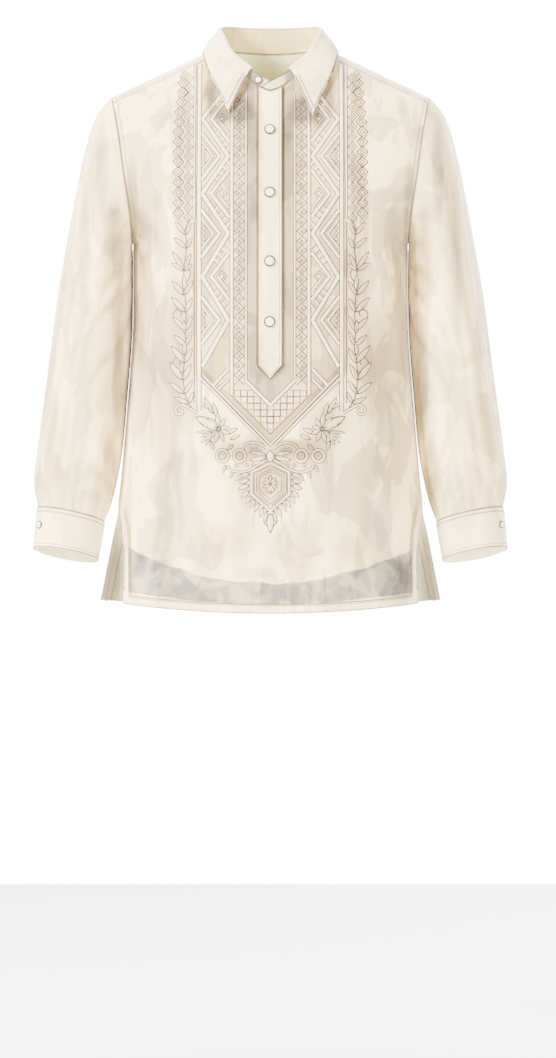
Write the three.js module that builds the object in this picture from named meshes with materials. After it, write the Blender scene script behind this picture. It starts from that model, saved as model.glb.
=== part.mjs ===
// A barong tagalog, the long sheer overshirt, filled out in the form in which it is worn.
// Millimetres, +Z up. The origin is on the centre line at the height of the neck's side points.
// The wearer faces -Y and has the left arm on +X.
import * as THREE from 'three';

// Cloth thicknesses, and the space left at a seam
const PANEL = 1.2;
const BAND = 2;
const SEAM = 0.4;

// The neck opening, the shoulder line and the armhole
const NECK = { half: 76, side: 10, front: -58, back: 6, dip: 1.5 };
const SHOULDER = { x: 225, z: -61 };
const UNDERARM = -270;
const ARMHOLE_DEPTH = 80;
const YOKE_BACK = -95;

// The hems and the side slits
const SLIT_TOP = -647;
const SLIT_SWING = { front: 34, back: 6, over: 110 };
const HEM = { front: -791, frontRise: 13, back: -788, backRise: 14 };

// The body's half width at each height. Front and back part at the slits.
const WIDTH = [
  { z: -61, front: 225, back: 225 },
  { z: -118, front: 214, back: 214 },
  { z: -175, front: 206, back: 206 },
  { z: -226, front: 198.5, back: 198.5 },
  { z: -270, front: 195, back: 195 },
  { z: -390, front: 195, back: 195 },
  { z: -500, front: 203, back: 203 },
  { z: -600, front: 211.5, back: 211.5 },
  { z: -647, front: 216, back: 216 },
  { z: -675, front: 211, back: 222 },
  { z: -714, front: 209, back: 230 },
  { z: -795, front: 209, back: 246 },
];

// Across the body its sections are rounded ovals, and flatter between the armholes. The
// armhole's own curve shapes only the cloth beside it, and fades out below the underarm.
const ROUNDNESS = 2.2;
const FLATNESS = 3;
const EDGE_HOLD = 24;
const FLAT_CHEST = { top: -61, full: -95, low: -210, bottom: -320 };
const EDGE_FADE = 70;

// The body's depth on the centre line at each height, from the shoulder line
const DEPTH = [
  { z: 15, front: 37, back: 58 },
  { z: -20, front: 52, back: 76 },
  { z: -58, front: 68, back: 91 },
  { z: -90, front: 82, back: 101 },
  { z: -130, front: 98, back: 109 },
  { z: -180, front: 112, back: 115 },
  { z: -270, front: 125, back: 118 },
  { z: -400, front: 127, back: 113 },
  { z: -520, front: 124, back: 113 },
  { z: -650, front: 126, back: 121 },
  { z: -795, front: 133, back: 133 },
];

// The body's largest folds: where each runs, how wide it spreads and how far it stands out
const BODY_FOLDS = [
  { side: 'front', x: -150, top: -330, bottom: -830, wide: 30, out: -6 },
  { side: 'front', x: -92, top: -520, bottom: -840, wide: 26, out: 4 },
  { side: 'front', x: -34, top: -560, bottom: -840, wide: 24, out: -3 },
  { side: 'front', x: 40, top: -580, bottom: -850, wide: 26, out: 3.5 },
  { side: 'front', x: 104, top: -500, bottom: -840, wide: 26, out: -4 },
  { side: 'front', x: 158, top: -350, bottom: -830, wide: 28, out: -6 },
  { side: 'front', x: -176, top: -190, bottom: -420, wide: 20, out: -5 },
  { side: 'front', x: 176, top: -190, bottom: -400, wide: 20, out: -5 },
  { side: 'back', x: -140, top: -180, bottom: -840, wide: 30, out: -8 },
  { side: 'back', x: -62, top: -300, bottom: -850, wide: 30, out: 6 },
  { side: 'back', x: 8, top: -260, bottom: -840, wide: 28, out: -6 },
  { side: 'back', x: 74, top: -340, bottom: -850, wide: 28, out: 6 },
  { side: 'back', x: 146, top: -190, bottom: -840, wide: 30, out: -8 },
];

// Sleeve sections from armhole to cuff: the outer and the inner edge in the front view,
// half the depth, the middle's place forward, and how far the section tips up at the front
const SLEEVE = [
  { at: 0, outX: 226, outZ: -61, inX: 196, inZ: -270, deep: 80, mid: 0, tip: 0 },
  { at: 0.09, outX: 247, outZ: -87, inX: 196.4, inZ: -281, deep: 79, mid: 0, tip: 0 },
  { at: 0.18, outX: 260, outZ: -124, inX: 196.3, inZ: -293, deep: 76, mid: 0, tip: 0 },
  { at: 0.3, outX: 273, outZ: -180, inX: 195.8, inZ: -314, deep: 72, mid: 0, tip: 0 },
  { at: 0.42, outX: 287, outZ: -255, inX: 195.7, inZ: -352, deep: 69, mid: -1, tip: 0 },
  { at: 0.54, outX: 302, outZ: -340, inX: 197.8, inZ: -415, deep: 65, mid: -3, tip: 0.03 },
  { at: 0.68, outX: 315, outZ: -440, inX: 203.8, inZ: -492, deep: 59, mid: -8, tip: 0.08 },
  { at: 0.82, outX: 328, outZ: -540, inX: 212, inZ: -576, deep: 52, mid: -15, tip: 0.14 },
  { at: 0.92, outX: 335, outZ: -606, inX: 223, inZ: -630, deep: 46, mid: -20, tip: 0.18 },
  { at: 1, outX: 329, outZ: -642.5, inX: 235, inZ: -662.5, deep: 34, mid: -22, tip: 0.19 },
];

// The sleeve's largest folds: angle round the sleeve (0 outside, 90 front), where each starts
// and ends along it, how wide it spreads in degrees and how far it stands out
const SLEEVE_FOLDS = [
  { angle: 62, from: 0.02, to: 0.62, wide: 15, out: -6 },
  { angle: 112, from: 0.04, to: 0.5, wide: 14, out: -5 },
  { angle: 28, from: 0.3, to: 0.98, wide: 13, out: -4.5 },
  { angle: 88, from: 0.5, to: 0.98, wide: 14, out: -4 },
  { angle: 140, from: 0.55, to: 1, wide: 14, out: -4 },
  { angle: 238, from: 0.02, to: 0.6, wide: 16, out: -6 },
  { angle: 292, from: 0.04, to: 0.7, wide: 16, out: -5 },
  { angle: 330, from: 0.5, to: 1, wide: 13, out: -4.5 },
  { angle: 262, from: 0.55, to: 1, wide: 14, out: -4 },
];

// The cuff's top and bottom section, as the sleeve's, and its lap in degrees
const CUFF = [
  { at: 0, outX: 330.5, outZ: -643.5, inX: 234, inZ: -663.7, deep: 35.5, mid: -22, tip: 0.19 },
  { at: 1, outX: 336, outZ: -701, inX: 243, inZ: -718, deep: 34.5, mid: -24, tip: 0.22 },
];
const CUFF_LAP = { under: 24, over: -24, ramp: 34 };
const CUFF_BUTTON = { angle: 33, at: 0.45 };

// Angles round the neck (0 at the back, 90 at the left side), with the height on the armhole
// that each of the yoke's rays reaches. Its back rays end along the back seam.
const SHOULDER_RAYS = [
  { angle: 64, side: 'back', armholeZ: YOKE_BACK },
  { angle: 73, side: 'back', armholeZ: -78 },
  { angle: 82, side: 'back', armholeZ: -66 },
  { angle: 90, side: 'back', armholeZ: -61 },
  { angle: 96, side: 'front', armholeZ: -62 },
  { angle: 104, side: 'front', armholeZ: -65.5 },
  { angle: 113, side: 'front', armholeZ: -72 },
];

// Columns across each body panel, and how many of each half lie under the neckline
const COLUMNS = 20;
const NECK_COLUMNS = 4;

// The collar's fold line: its height at each angle round the neck
const FOLD_LINE = [
  { angle: 0, z: 42 },
  { angle: 60, z: 41.5 },
  { angle: 90, z: 35 },
  { angle: 110, z: 25 },
  { angle: 130, z: 0 },
  { angle: 150, z: -18 },
  { angle: 165, z: -32 },
  { angle: 180, z: -43 },
  { angle: 190, z: -52 },
];
const FOLD_LEAN = 0.95;

// The stand's two front ends: the right one lies under the left one
const STAND = { rightEnd: 177, leftEnd: 188, lapFrom: 160, lapOut: 2.6, endLift: 1.2 };

// The leaf's outer edge: the place on the body that it hangs over at each angle
const LEAF_EDGE = [
  { angle: 0, x: 0, z: -6 },
  { angle: 30, x: 44, z: -6 },
  { angle: 60, x: 79, z: -3.5 },
  { angle: 78, x: 90, z: 0 },
  { angle: 90, x: 94, z: 1 },
  { angle: 105, x: 93, z: -9 },
  { angle: 125, x: 85, z: -35 },
  { angle: 145, x: 71, z: -64 },
  { angle: 158, x: 59, z: -90 },
];
const LEAF = { end: 158, clear: 4.6, leftDrop: 4 };

// The placket, its buttons, and the neck button
const PLACKET = { left: -17.5, right: 16.5, bottom: -444.5, point: 20, lift: 0.6, neckGap: 1.4 };
const SLIT_BOTTOM = -436;
const BUTTON_HEIGHTS = [-115, -204, -300, -384.5];
const BUTTON_X = -1;
const FRONT_BUTTON = 16;
const SMALL_BUTTON = 11;
const BUTTON_THICK = 2.4;
const NECK_BUTTON_ANGLE = 193;

// Colours
const IVORY = 0xf3ead9;
const COLLAR_IVORY = 0xf7f1e4;
const PEARL = 0xf6f0e6;

// Small helpers for numbers and points
const radians = (degrees) => THREE.MathUtils.degToRad(degrees);
const mix = THREE.MathUtils.lerp;
const ease = (value) => THREE.MathUtils.smoothstep(value, 0, 1);
const span = (count) => Array.from({ length: count + 1 }, (_, step) => step / count);

// A column of a table read at one place, with a smooth curve through the rows
function readTable(table, key, column, place) {
  const sign = table[1][key] > table[0][key] ? 1 : -1;
  let row = 0;
  while (row < table.length - 2 && (place - table[row + 1][key]) * sign > 0) row += 1;
  const slopeAt = (index) => {
    const before = table[Math.max(index - 1, 0)];
    const after = table[Math.min(index + 1, table.length - 1)];
    return (after[column] - before[column]) / (after[key] - before[key]);
  };
  const length = table[row + 1][key] - table[row][key];
  const part = THREE.MathUtils.clamp((place - table[row][key]) / length, 0, 1);
  const start = table[row][column];
  const end = table[row + 1][column];
  const bend = part * (1 - part) * length;
  const curve = bend * ((1 - part) * slopeAt(row) - part * slopeAt(row + 1));
  return mix(start, end, part) + curve - bend * (1 - 2 * part) * (end - start) / length;
}

// The shoulder line, and the neck opening as seen from the front or the back
const shoulderSlope = (SHOULDER.z - NECK.side) / (SHOULDER.x - NECK.half);
const shoulderZ = (x) => NECK.side + (Math.abs(x) - NECK.half) * shoulderSlope;

function neckZ(side, x) {
  const across = Math.min(Math.abs(x) / NECK.half, 1);
  return side === 'front'
    ? mix(NECK.front, NECK.side, across ** NECK.dip)
    : mix(NECK.back, NECK.side, across ** 2);
}

// Half the body's width, which ends on the shoulder line, the armhole, the side or the slit
function halfWidth(side, z) {
  if (z > SHOULDER.z) return NECK.half + (z - NECK.side) / shoulderSlope;
  return readTable(WIDTH, 'z', side, z);
}

// How far the panel's edge lies from the middle plane: at the armhole and at the slit
const ARMHOLE_MIDDLE = (SHOULDER.z + UNDERARM) / 2;

function edgeDepth(side, z) {
  const reach = (z - ARMHOLE_MIDDLE) / (SHOULDER.z - ARMHOLE_MIDDLE);
  if (Math.abs(reach) < 1) return Math.max(ARMHOLE_DEPTH * Math.sqrt(1 - reach * reach), SEAM / 2);
  const swing = SLIT_SWING[side] * ease((SLIT_TOP - z) / SLIT_SWING.over);
  return Math.max(swing, SEAM / 2);
}

function softEdgeDepth(side, z) {
  if (z > ARMHOLE_MIDDLE) return edgeDepth(side, z);
  const bottom = UNDERARM - EDGE_FADE;
  const armhole = ARMHOLE_DEPTH * ease((z - bottom) / (ARMHOLE_MIDDLE - bottom));
  return z < bottom ? edgeDepth(side, z) : armhole;
}

function foldHeight(side, x, z) {
  let height = 0;
  for (const fold of BODY_FOLDS) {
    if (fold.side !== side) continue;
    const along = (z - fold.bottom) / (fold.top - fold.bottom);
    if (along <= 0 || along >= 1) continue;
    const across = (x - fold.x) / fold.wide;
    height += fold.out * Math.exp(-across * across) * Math.sin(Math.PI * Math.sqrt(1 - along));
  }
  return height;
}

// The body's depth at a place, on its front or its back
function bodyDepth(side, x, z) {
  const across = Math.min(Math.abs(x) / halfWidth(side, z), 1);
  const { top, full, low, bottom } = FLAT_CHEST;
  const flat = ease((top - z) / (top - full)) * ease((z - bottom) / (low - bottom));
  const profile = mix((1 - across ** ROUNDNESS) ** (1 / ROUNDNESS), 1 - across ** FLATNESS, flat);
  const edge = mix(softEdgeDepth(side, z), edgeDepth(side, z), across ** EDGE_HOLD);
  const middle = readTable(DEPTH, 'z', side, z);
  return edge + (middle - edge + foldHeight(side, x, z)) * profile;
}

// A point of the body with its outward normal, moved out by `lift`
function bodyPoint(side, x, z, lift = 0) {
  const step = 0.4;
  const facing = side === 'front' ? -1 : 1;
  const slopeX = bodyDepth(side, x + step, z) - bodyDepth(side, x - step, z);
  const slopeZ = bodyDepth(side, x, z + step) - bodyDepth(side, x, z - step);
  const normal = new THREE.Vector3(-slopeX, facing * 2 * step, -slopeZ).normalize();
  const point = new THREE.Vector3(x, facing * bodyDepth(side, x, z), z);
  return { point: point.addScaledVector(normal, lift), normal };
}

// A surface is a list of rows of points. Its normals are given with the points, or averaged
// from the faces around each point.
function makeSurface(rows, closed = false) {
  const width = rows[0].length;
  const nodes = rows.flat();
  const quads = [];
  for (let row = 0; row < rows.length - 1; row += 1) {
    for (let column = 0; column < (closed ? width : width - 1); column += 1) {
      const next = (column + 1) % width;
      const low = row * width;
      quads.push([low + column, low + next, low + width + next, low + width + column]);
    }
  }
  return { nodes, quads };
}

function faceNormal(nodes, quad) {
  const across = nodes[quad[2]].point.clone().sub(nodes[quad[0]].point);
  const along = nodes[quad[3]].point.clone().sub(nodes[quad[1]].point);
  return across.cross(along);
}

function averageNormals(surface, outward) {
  const sums = surface.nodes.map(() => new THREE.Vector3());
  for (const quad of surface.quads) {
    const normal = faceNormal(surface.nodes, quad);
    for (const index of quad) sums[index].add(normal);
  }
  const first = surface.nodes[surface.quads[0][0]].point;
  const sign = sums[surface.quads[0][0]].dot(outward(first)) < 0 ? -1 : 1;
  surface.nodes.forEach((node, index) => {
    node.normal = sums[index].normalize().multiplyScalar(sign);
  });
  return surface;
}

// A wall of cloth: the surface outside, the same points moved in by the thickness inside,
// and a rim along every free edge
function makeWall({ nodes, quads }, thickness) {
  const agree = quads.reduce((sum, quad) => sum + faceNormal(nodes, quad).dot(nodes[quad[0]].normal), 0);
  const outer = agree < 0 ? quads.map((quad) => [...quad].reverse()) : quads;
  const count = nodes.length;
  const positions = [];
  for (const { point } of nodes) positions.push(point.x, point.y, point.z);
  for (const { point, normal } of nodes) {
    const inner = point.clone().addScaledVector(normal, -thickness);
    positions.push(inner.x, inner.y, inner.z);
  }
  const faces = [];
  const edges = new Map();
  for (const [a, b, c, d] of outer) {
    faces.push(a, b, c, a, c, d);
    faces.push(a + count, c + count, b + count, a + count, d + count, c + count);
    for (const [from, to] of [[a, b], [b, c], [c, d], [d, a]]) {
      if (!edges.delete(`${to} ${from}`)) edges.set(`${from} ${to}`, [from, to]);
    }
  }
  for (const [from, to] of edges.values()) {
    faces.push(to, from, from + count, to, from + count, to + count);
  }
  const geometry = new THREE.BufferGeometry();
  geometry.setAttribute('position', new THREE.Float32BufferAttribute(positions, 3));
  geometry.setIndex(faces);
  geometry.computeVertexNormals();
  return geometry;
}

// Heights of the rows below the underarm: four in the slit, then up the side seam
const LOWER_ROWS = [
  ...span(4).map((part) => mix(0, 0.26, part)),
  ...span(9).slice(1).map((part) => mix(0.26, 1, part)),
];
const COLUMN_PLACES = span(COLUMNS).map((part) => 2 * part - 1);
const acrossAt = (place) => Math.sign(place) * Math.sin(Math.abs(place) * Math.PI / 2) ** (2 / ROUNDNESS);

// Below the underarm both panels hang in rows that ease from the hem's bow to level
function lowerRow(side, part) {
  return COLUMN_PLACES.map((place) => {
    const across = acrossAt(place);
    const hem = HEM[side] + HEM[`${side}Rise`] * across * across;
    const z = mix(hem, UNDERARM, part);
    return bodyPoint(side, across * halfWidth(side, z), z);
  });
}

// The front's top edge: the neckline in the middle, the yoke's front seam to each side
const NECK_SHARE = NECK_COLUMNS / (COLUMNS / 2);
const FRONT_RAY = SHOULDER_RAYS.at(-1);
const towardArmhole = (part) => Math.sin(part * Math.PI / 2);

function frontTop(place) {
  const sign = Math.sign(place) || 1;
  const share = Math.abs(place);
  const neckEnd = FRONT_RAY.angle;
  if (share <= NECK_SHARE + 1e-6) {
    const x = NECK.half * Math.sin(radians(mix(180, neckEnd, share / NECK_SHARE)));
    return { x: sign * x, z: neckZ('front', x) - SEAM };
  }
  const start = NECK.half * Math.sin(radians(neckEnd));
  const endZ = FRONT_RAY.armholeZ - SEAM;
  const part = towardArmhole((share - NECK_SHARE) / (1 - NECK_SHARE));
  return {
    x: sign * mix(start, halfWidth('front', endZ), part),
    z: mix(neckZ('front', start) - SEAM, endZ, part),
  };
}

// Rows beside the armhole, even along its curve: how far each lies from underarm to top
function armholeRows(count, topZ) {
  const reach = (SHOULDER.z - UNDERARM) / 2;
  const topAngle = Math.acos((UNDERARM + reach - topZ) / reach);
  return span(count).slice(1).map((part) => {
    return reach * (1 - Math.cos(topAngle * part)) / (topZ - UNDERARM);
  });
}

// The front: one panel, open down the middle under the placket
function makeFront() {
  const rows = LOWER_ROWS.map((part) => lowerRow('front', part));
  const edgeTop = frontTop(1);
  for (const part of armholeRows(9, edgeTop.z)) {
    rows.push(COLUMN_PLACES.map((place) => {
      const top = frontTop(place);
      const across = acrossAt(place);
      const edgeZ = mix(UNDERARM, edgeTop.z, part);
      const bow = halfWidth('front', edgeZ) - mix(halfWidth('front', UNDERARM), edgeTop.x, part);
      const level = mix(across * halfWidth('front', UNDERARM), top.x, part);
      return bodyPoint('front', level + bow * across ** 7, mix(UNDERARM, top.z, part));
    }));
  }
  return makeWall(splitDownMiddle(makeSurface(rows)), PANEL);
}

// Parts the middle column above the slit's lower end into two edges
function splitDownMiddle({ nodes, quads }) {
  const middle = COLUMNS / 2;
  const width = COLUMNS + 1;
  const twins = new Map();
  nodes.slice().forEach((node, index) => {
    if (index % width !== middle || node.point.z < SLIT_BOTTOM) return;
    twins.set(index, nodes.length);
    nodes.push({ point: node.point.clone().setX(SEAM), normal: node.normal.clone() });
    node.point.setX(-SEAM);
  });
  const parted = quads.map((quad) => {
    const isLeft = quad.some((index) => index % width > middle);
    return isLeft ? quad.map((index) => twins.get(index) ?? index) : quad;
  });
  return { nodes, quads: parted };
}

// The back: one panel from hem to yoke
function makeBack() {
  const rows = LOWER_ROWS.map((part) => lowerRow('back', part));
  for (const part of armholeRows(7, YOKE_BACK - SEAM)) {
    const z = mix(UNDERARM, YOKE_BACK - SEAM, part);
    rows.push(COLUMN_PLACES.map((place) => bodyPoint('back', acrossAt(place) * halfWidth('back', z), z)));
  }
  return makeWall(makeSurface(rows), PANEL);
}

// A point of the neck opening at an angle round it
function neckPoint(angle) {
  const side = Math.cos(radians(angle)) < 0 ? 'front' : 'back';
  const x = NECK.half * Math.sin(radians(angle));
  const z = neckZ(side, x);
  return { side, x, z, ...bodyPoint(side, x, z) };
}

// The yoke: rays from the neck over the shoulders to the armholes and the back seam,
// where they meet the back's own columns
const BACK_RAYS = span(COLUMNS / 2).slice(0, -1).map((part) => ({
  angle: part * SHOULDER_RAYS[0].angle,
  side: 'back',
  endX: acrossAt(part) * halfWidth('back', YOKE_BACK),
  endZ: YOKE_BACK,
}));
const YOKE_RAYS = [
  ...BACK_RAYS,
  ...SHOULDER_RAYS.map(({ angle, side, armholeZ }) => ({
    angle, side, endX: halfWidth(side, armholeZ), endZ: armholeZ,
  })),
];

function makeYoke() {
  const right = YOKE_RAYS.slice(1).reverse().map((ray) => ({ ...ray, sign: -1 }));
  const left = YOKE_RAYS.map((ray) => ({ ...ray, sign: 1 }));
  const rows = [...right, ...left].map((ray) => {
    const start = neckPoint(ray.angle);
    return span((COLUMNS / 2) - NECK_COLUMNS).map((step) => {
      const part = towardArmhole(step);
      return bodyPoint(ray.side, ray.sign * mix(start.x, ray.endX, part), mix(start.z, ray.endZ, part));
    });
  });
  return makeWall(makeSurface(rows), PANEL);
}

// A section of sleeve or cuff, and a point on it. Angle 0 is outside, 90 is at the front.
function readSection(table, at) {
  const read = (column) => readTable(table, 'at', column, at);
  return {
    middle: new THREE.Vector3((read('outX') + read('inX')) / 2, read('mid'), (read('outZ') + read('inZ')) / 2),
    out: new THREE.Vector3((read('outX') - read('inX')) / 2, 0, (read('outZ') - read('inZ')) / 2),
    deep: read('deep'),
    tip: read('tip'),
  };
}

function sectionPoint({ middle, out, deep, tip }, angle, grow = 0) {
  const turn = radians(angle);
  const scale = 1 + grow / out.length();
  const forward = Math.sin(turn) * (deep + grow);
  return middle.clone()
    .addScaledVector(out, Math.cos(turn) * scale)
    .add(new THREE.Vector3(0, -forward, forward * tip));
}

function sleeveFold(angle, at) {
  let height = 0;
  for (const fold of SLEEVE_FOLDS) {
    const along = (at - fold.from) / (fold.to - fold.from);
    if (along <= 0 || along >= 1) continue;
    const away = THREE.MathUtils.euclideanModulo(angle - fold.angle + 180, 360) - 180;
    height += fold.out * Math.exp(-((away / fold.wide) ** 2)) * Math.sin(Math.PI * along) ** 0.8;
  }
  return height;
}

// A sleeve: rings from the armhole, whose first one follows the body's curved edge, to the cuff
function makeSleeve(sign) {
  const armhole = readSection(SLEEVE, 0);
  const rings = span(20).map((step) => {
    const at = step ** 1.1;
    const section = readSection(SLEEVE, at);
    return span(24).slice(0, -1).map((turn) => {
      const angle = turn * 360;
      const point = sectionPoint(section, angle, sleeveFold(angle, at));
      const seam = sectionPoint(armhole, angle);
      const bow = halfWidth('front', Math.min(seam.z, SHOULDER.z)) + 1 - seam.x;
      point.x += bow * (1 - ease(at / 0.2));
      point.x *= sign;
      return { point };
    });
  });
  const surface = averageNormals(makeSurface(rings, true), () => new THREE.Vector3(0, 0, 1));
  return makeWall(surface, PANEL);
}

// A cuff: one band whose end laps over its own start outside the wrist
function makeCuff(sign) {
  const sweep = 360 + CUFF_LAP.under - CUFF_LAP.over;
  const rows = span(3).map((at) => {
    const section = readSection(CUFF, at);
    return span(36).map((part) => {
      const travelled = part * sweep;
      const lap = CUFF_LAP.under - CUFF_LAP.over;
      const under = (BAND + SEAM) * (1 - ease((travelled - lap) / CUFF_LAP.ramp));
      const point = sectionPoint(section, CUFF_LAP.under - travelled, -under);
      point.x *= sign;
      return { point };
    });
  });
  const section = readSection(CUFF, 0);
  const outward = (point) => new THREE.Vector3(point.x - sign * section.middle.x, point.y - section.middle.y, 0);
  return makeWall(averageNormals(makeSurface(rows), outward), BAND);
}

// Angles round the neck for the collar: the yoke's and the front's, every second one behind
const HALF_NECK = [
  ...BACK_RAYS.filter((_, index) => index % 2 === 0).map((ray) => ray.angle),
  ...SHOULDER_RAYS.map((ray) => ray.angle),
  ...span(NECK_COLUMNS).slice(1).map((part) => mix(FRONT_RAY.angle, 180, part)),
];

function collarAngles(rightEnd, leftEnd) {
  const right = HALF_NECK.filter((angle) => angle > 0 && angle < rightEnd - 1).reverse();
  const left = HALF_NECK.filter((angle) => angle < leftEnd - 1);
  return [-rightEnd, ...right.map((angle) => -angle), ...left, leftEnd];
}

// The stand's lower edge on the neck opening, and the collar's fold line above it.
// The left front end moves out over the right one.
function collarBase(angle) {
  const { point, x } = neckPoint(angle);
  const lap = STAND.lapOut * ease((angle - STAND.lapFrom) / (180 - STAND.lapFrom));
  const lift = SEAM + STAND.endLift * ease((Math.abs(angle) - STAND.lapFrom) / (180 - STAND.lapFrom));
  return new THREE.Vector3(x, point.y - lap, point.z + lift);
}

function collarFold(angle) {
  const base = collarBase(angle);
  const z = readTable(FOLD_LINE, 'angle', 'z', Math.abs(angle));
  const lean = angle > 170 ? mix(FOLD_LEAN, 1, ease((angle - 170) / 15)) : FOLD_LEAN;
  return new THREE.Vector3(base.x * FOLD_LEAN, base.y * lean, Math.max(z, base.z + 2));
}

function makeStand() {
  const columns = collarAngles(STAND.rightEnd, STAND.leftEnd).map((angle) => {
    const base = collarBase(angle);
    const fold = collarFold(angle);
    return span(3).map((part) => ({ point: base.clone().lerp(fold, part) }));
  });
  const outward = (point) => new THREE.Vector3(point.x, point.y, 0);
  return makeWall(averageNormals(makeSurface(columns), outward), BAND);
}

// The leaf's outer edge lies just clear of the body, or of the shoulder line at the side
function leafEdge(angle) {
  const turn = Math.abs(angle);
  const side = turn > 90 ? 'front' : 'back';
  const drop = angle > 0 ? LEAF.leftDrop * ease((turn - 110) / (LEAF.end - 110)) : 0;
  const x = readTable(LEAF_EDGE, 'angle', 'x', turn);
  const z = readTable(LEAF_EDGE, 'angle', 'z', turn) - drop;
  return bodyPoint(side, Math.sign(angle) * x, z, LEAF.clear).point;
}

// The leaf rolls over the top of the stand and falls to its edge
function makeLeaf() {
  const top = BAND + 2 * SEAM;
  const columns = collarAngles(LEAF.end, LEAF.end).map((angle) => {
    const fold = collarFold(angle);
    const edge = leafEdge(angle);
    const along = collarFold(angle + 3).sub(collarFold(angle - 3)).normalize();
    const up = fold.clone().sub(collarBase(angle));
    up.addScaledVector(along, -up.dot(along)).normalize();
    const out = up.clone().cross(along);
    const crest = fold.clone().addScaledVector(out, -1.2).addScaledVector(up, top);
    const roll = fold.clone().addScaledVector(out, top * 0.85).addScaledVector(up, top * 0.55);
    const fall = fold.clone().addScaledVector(out, top * 1.5).addScaledVector(up, -4);
    const rest = span(4).slice(1).map((part) => {
      const bulge = 2.2 * Math.sin(Math.PI * part);
      return fall.clone().lerp(edge, part).addScaledVector(out, bulge);
    });
    return [crest, roll, fall, ...rest].map((point) => ({ point }));
  });
  return makeWall(averageNormals(makeSurface(columns), () => new THREE.Vector3(0, 0, 1)), BAND);
}

// The placket lies on the front from the neckline to its point
function makePlacket() {
  const middle = (PLACKET.left + PLACKET.right) / 2;
  const half = (PLACKET.right - PLACKET.left) / 2;
  const rows = span(15).map((part) => span(6).map((place) => {
    const x = mix(PLACKET.left, PLACKET.right, place);
    const bottom = PLACKET.bottom - PLACKET.point * (1 - Math.abs(x - middle) / half);
    const z = mix(bottom, neckZ('front', x) - PLACKET.neckGap, part ** 0.9);
    return bodyPoint('front', x, z, PLACKET.lift + BAND);
  }));
  return makeWall(makeSurface(rows), BAND);
}

// A sewn button: a low disc with a raised rim, turned about its own axis
function makeButton(name, diameter, point, normal) {
  const radius = diameter / 2;
  const profile = [
    [0, 0], [radius * 0.78, 0], [radius, BUTTON_THICK * 0.35], [radius, BUTTON_THICK * 0.65],
    [radius * 0.86, BUTTON_THICK], [radius * 0.7, BUTTON_THICK * 0.82], [0, BUTTON_THICK * 0.9],
  ].map(([x, y]) => new THREE.Vector2(x, y));
  const button = makePiece(name, new THREE.LatheGeometry(profile, 16), PEARL, 0.25);
  button.position.copy(point).addScaledVector(normal, SEAM);
  button.quaternion.setFromUnitVectors(new THREE.Vector3(0, 1, 0), normal);
  return button;
}

function makePiece(name, geometry, color, roughness) {
  const material = new THREE.MeshStandardMaterial({ color, roughness, metalness: 0 });
  const mesh = new THREE.Mesh(geometry, material);
  mesh.name = name;
  return mesh;
}

// A button on a band, placed from the band's own edges there
function bandButton(name, low, high, along, outward) {
  const normal = high.clone().sub(low).cross(along).normalize();
  if (normal.dot(outward) < 0) normal.negate();
  return makeButton(name, SMALL_BUTTON, low.clone().lerp(high, 0.5), normal);
}

function makeNeckButton() {
  const angle = NECK_BUTTON_ANGLE - 360;
  const along = collarBase(angle + 4).sub(collarBase(angle - 4));
  return bandButton('button_neck', collarBase(angle), collarFold(angle), along, new THREE.Vector3(0, -1, 0));
}

function makeCuffButton(name, sign) {
  const spot = (angle, at) => {
    const point = sectionPoint(readSection(CUFF, at), angle);
    point.x *= sign;
    return point;
  };
  const { angle, at } = CUFF_BUTTON;
  const along = spot(angle + 4, at).sub(spot(angle - 4, at));
  return bandButton(name, spot(angle, at + 0.1), spot(angle, at - 0.1), along, new THREE.Vector3(sign, -1, 0));
}

const barong = new THREE.Group();
barong.add(makePiece('front', makeFront(), IVORY, 0.6));
barong.add(makePiece('back', makeBack(), IVORY, 0.6));
barong.add(makePiece('yoke', makeYoke(), IVORY, 0.6));
barong.add(makePiece('collar_stand', makeStand(), COLLAR_IVORY, 0.65));
barong.add(makePiece('collar_leaf', makeLeaf(), COLLAR_IVORY, 0.65));
barong.add(makePiece('placket', makePlacket(), IVORY, 0.6));
for (const [name, sign] of [['left', 1], ['right', -1]]) {
  barong.add(makePiece(`sleeve_${name}`, makeSleeve(sign), IVORY, 0.6));
  barong.add(makePiece(`cuff_${name}`, makeCuff(sign), COLLAR_IVORY, 0.65));
  barong.add(makeCuffButton(`button_cuff_${name}`, sign));
}
BUTTON_HEIGHTS.forEach((z, index) => {
  const { point, normal } = bodyPoint('front', BUTTON_X, z, PLACKET.lift + BAND);
  barong.add(makeButton(`button_front_${index + 1}`, FRONT_BUTTON, point, normal));
});
barong.add(makeNeckButton());

export default barong;
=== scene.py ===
"""A barong tagalog, filled out in the form in which it is worn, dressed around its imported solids.

The wearer faces -Y and has the left arm on +X. The origin is on the centre line at the height
of the neck's side points. Sizes are in metres.
"""

import math

import bmesh
import bpy
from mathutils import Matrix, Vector
from mathutils.bvhtree import BVHTree


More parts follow.
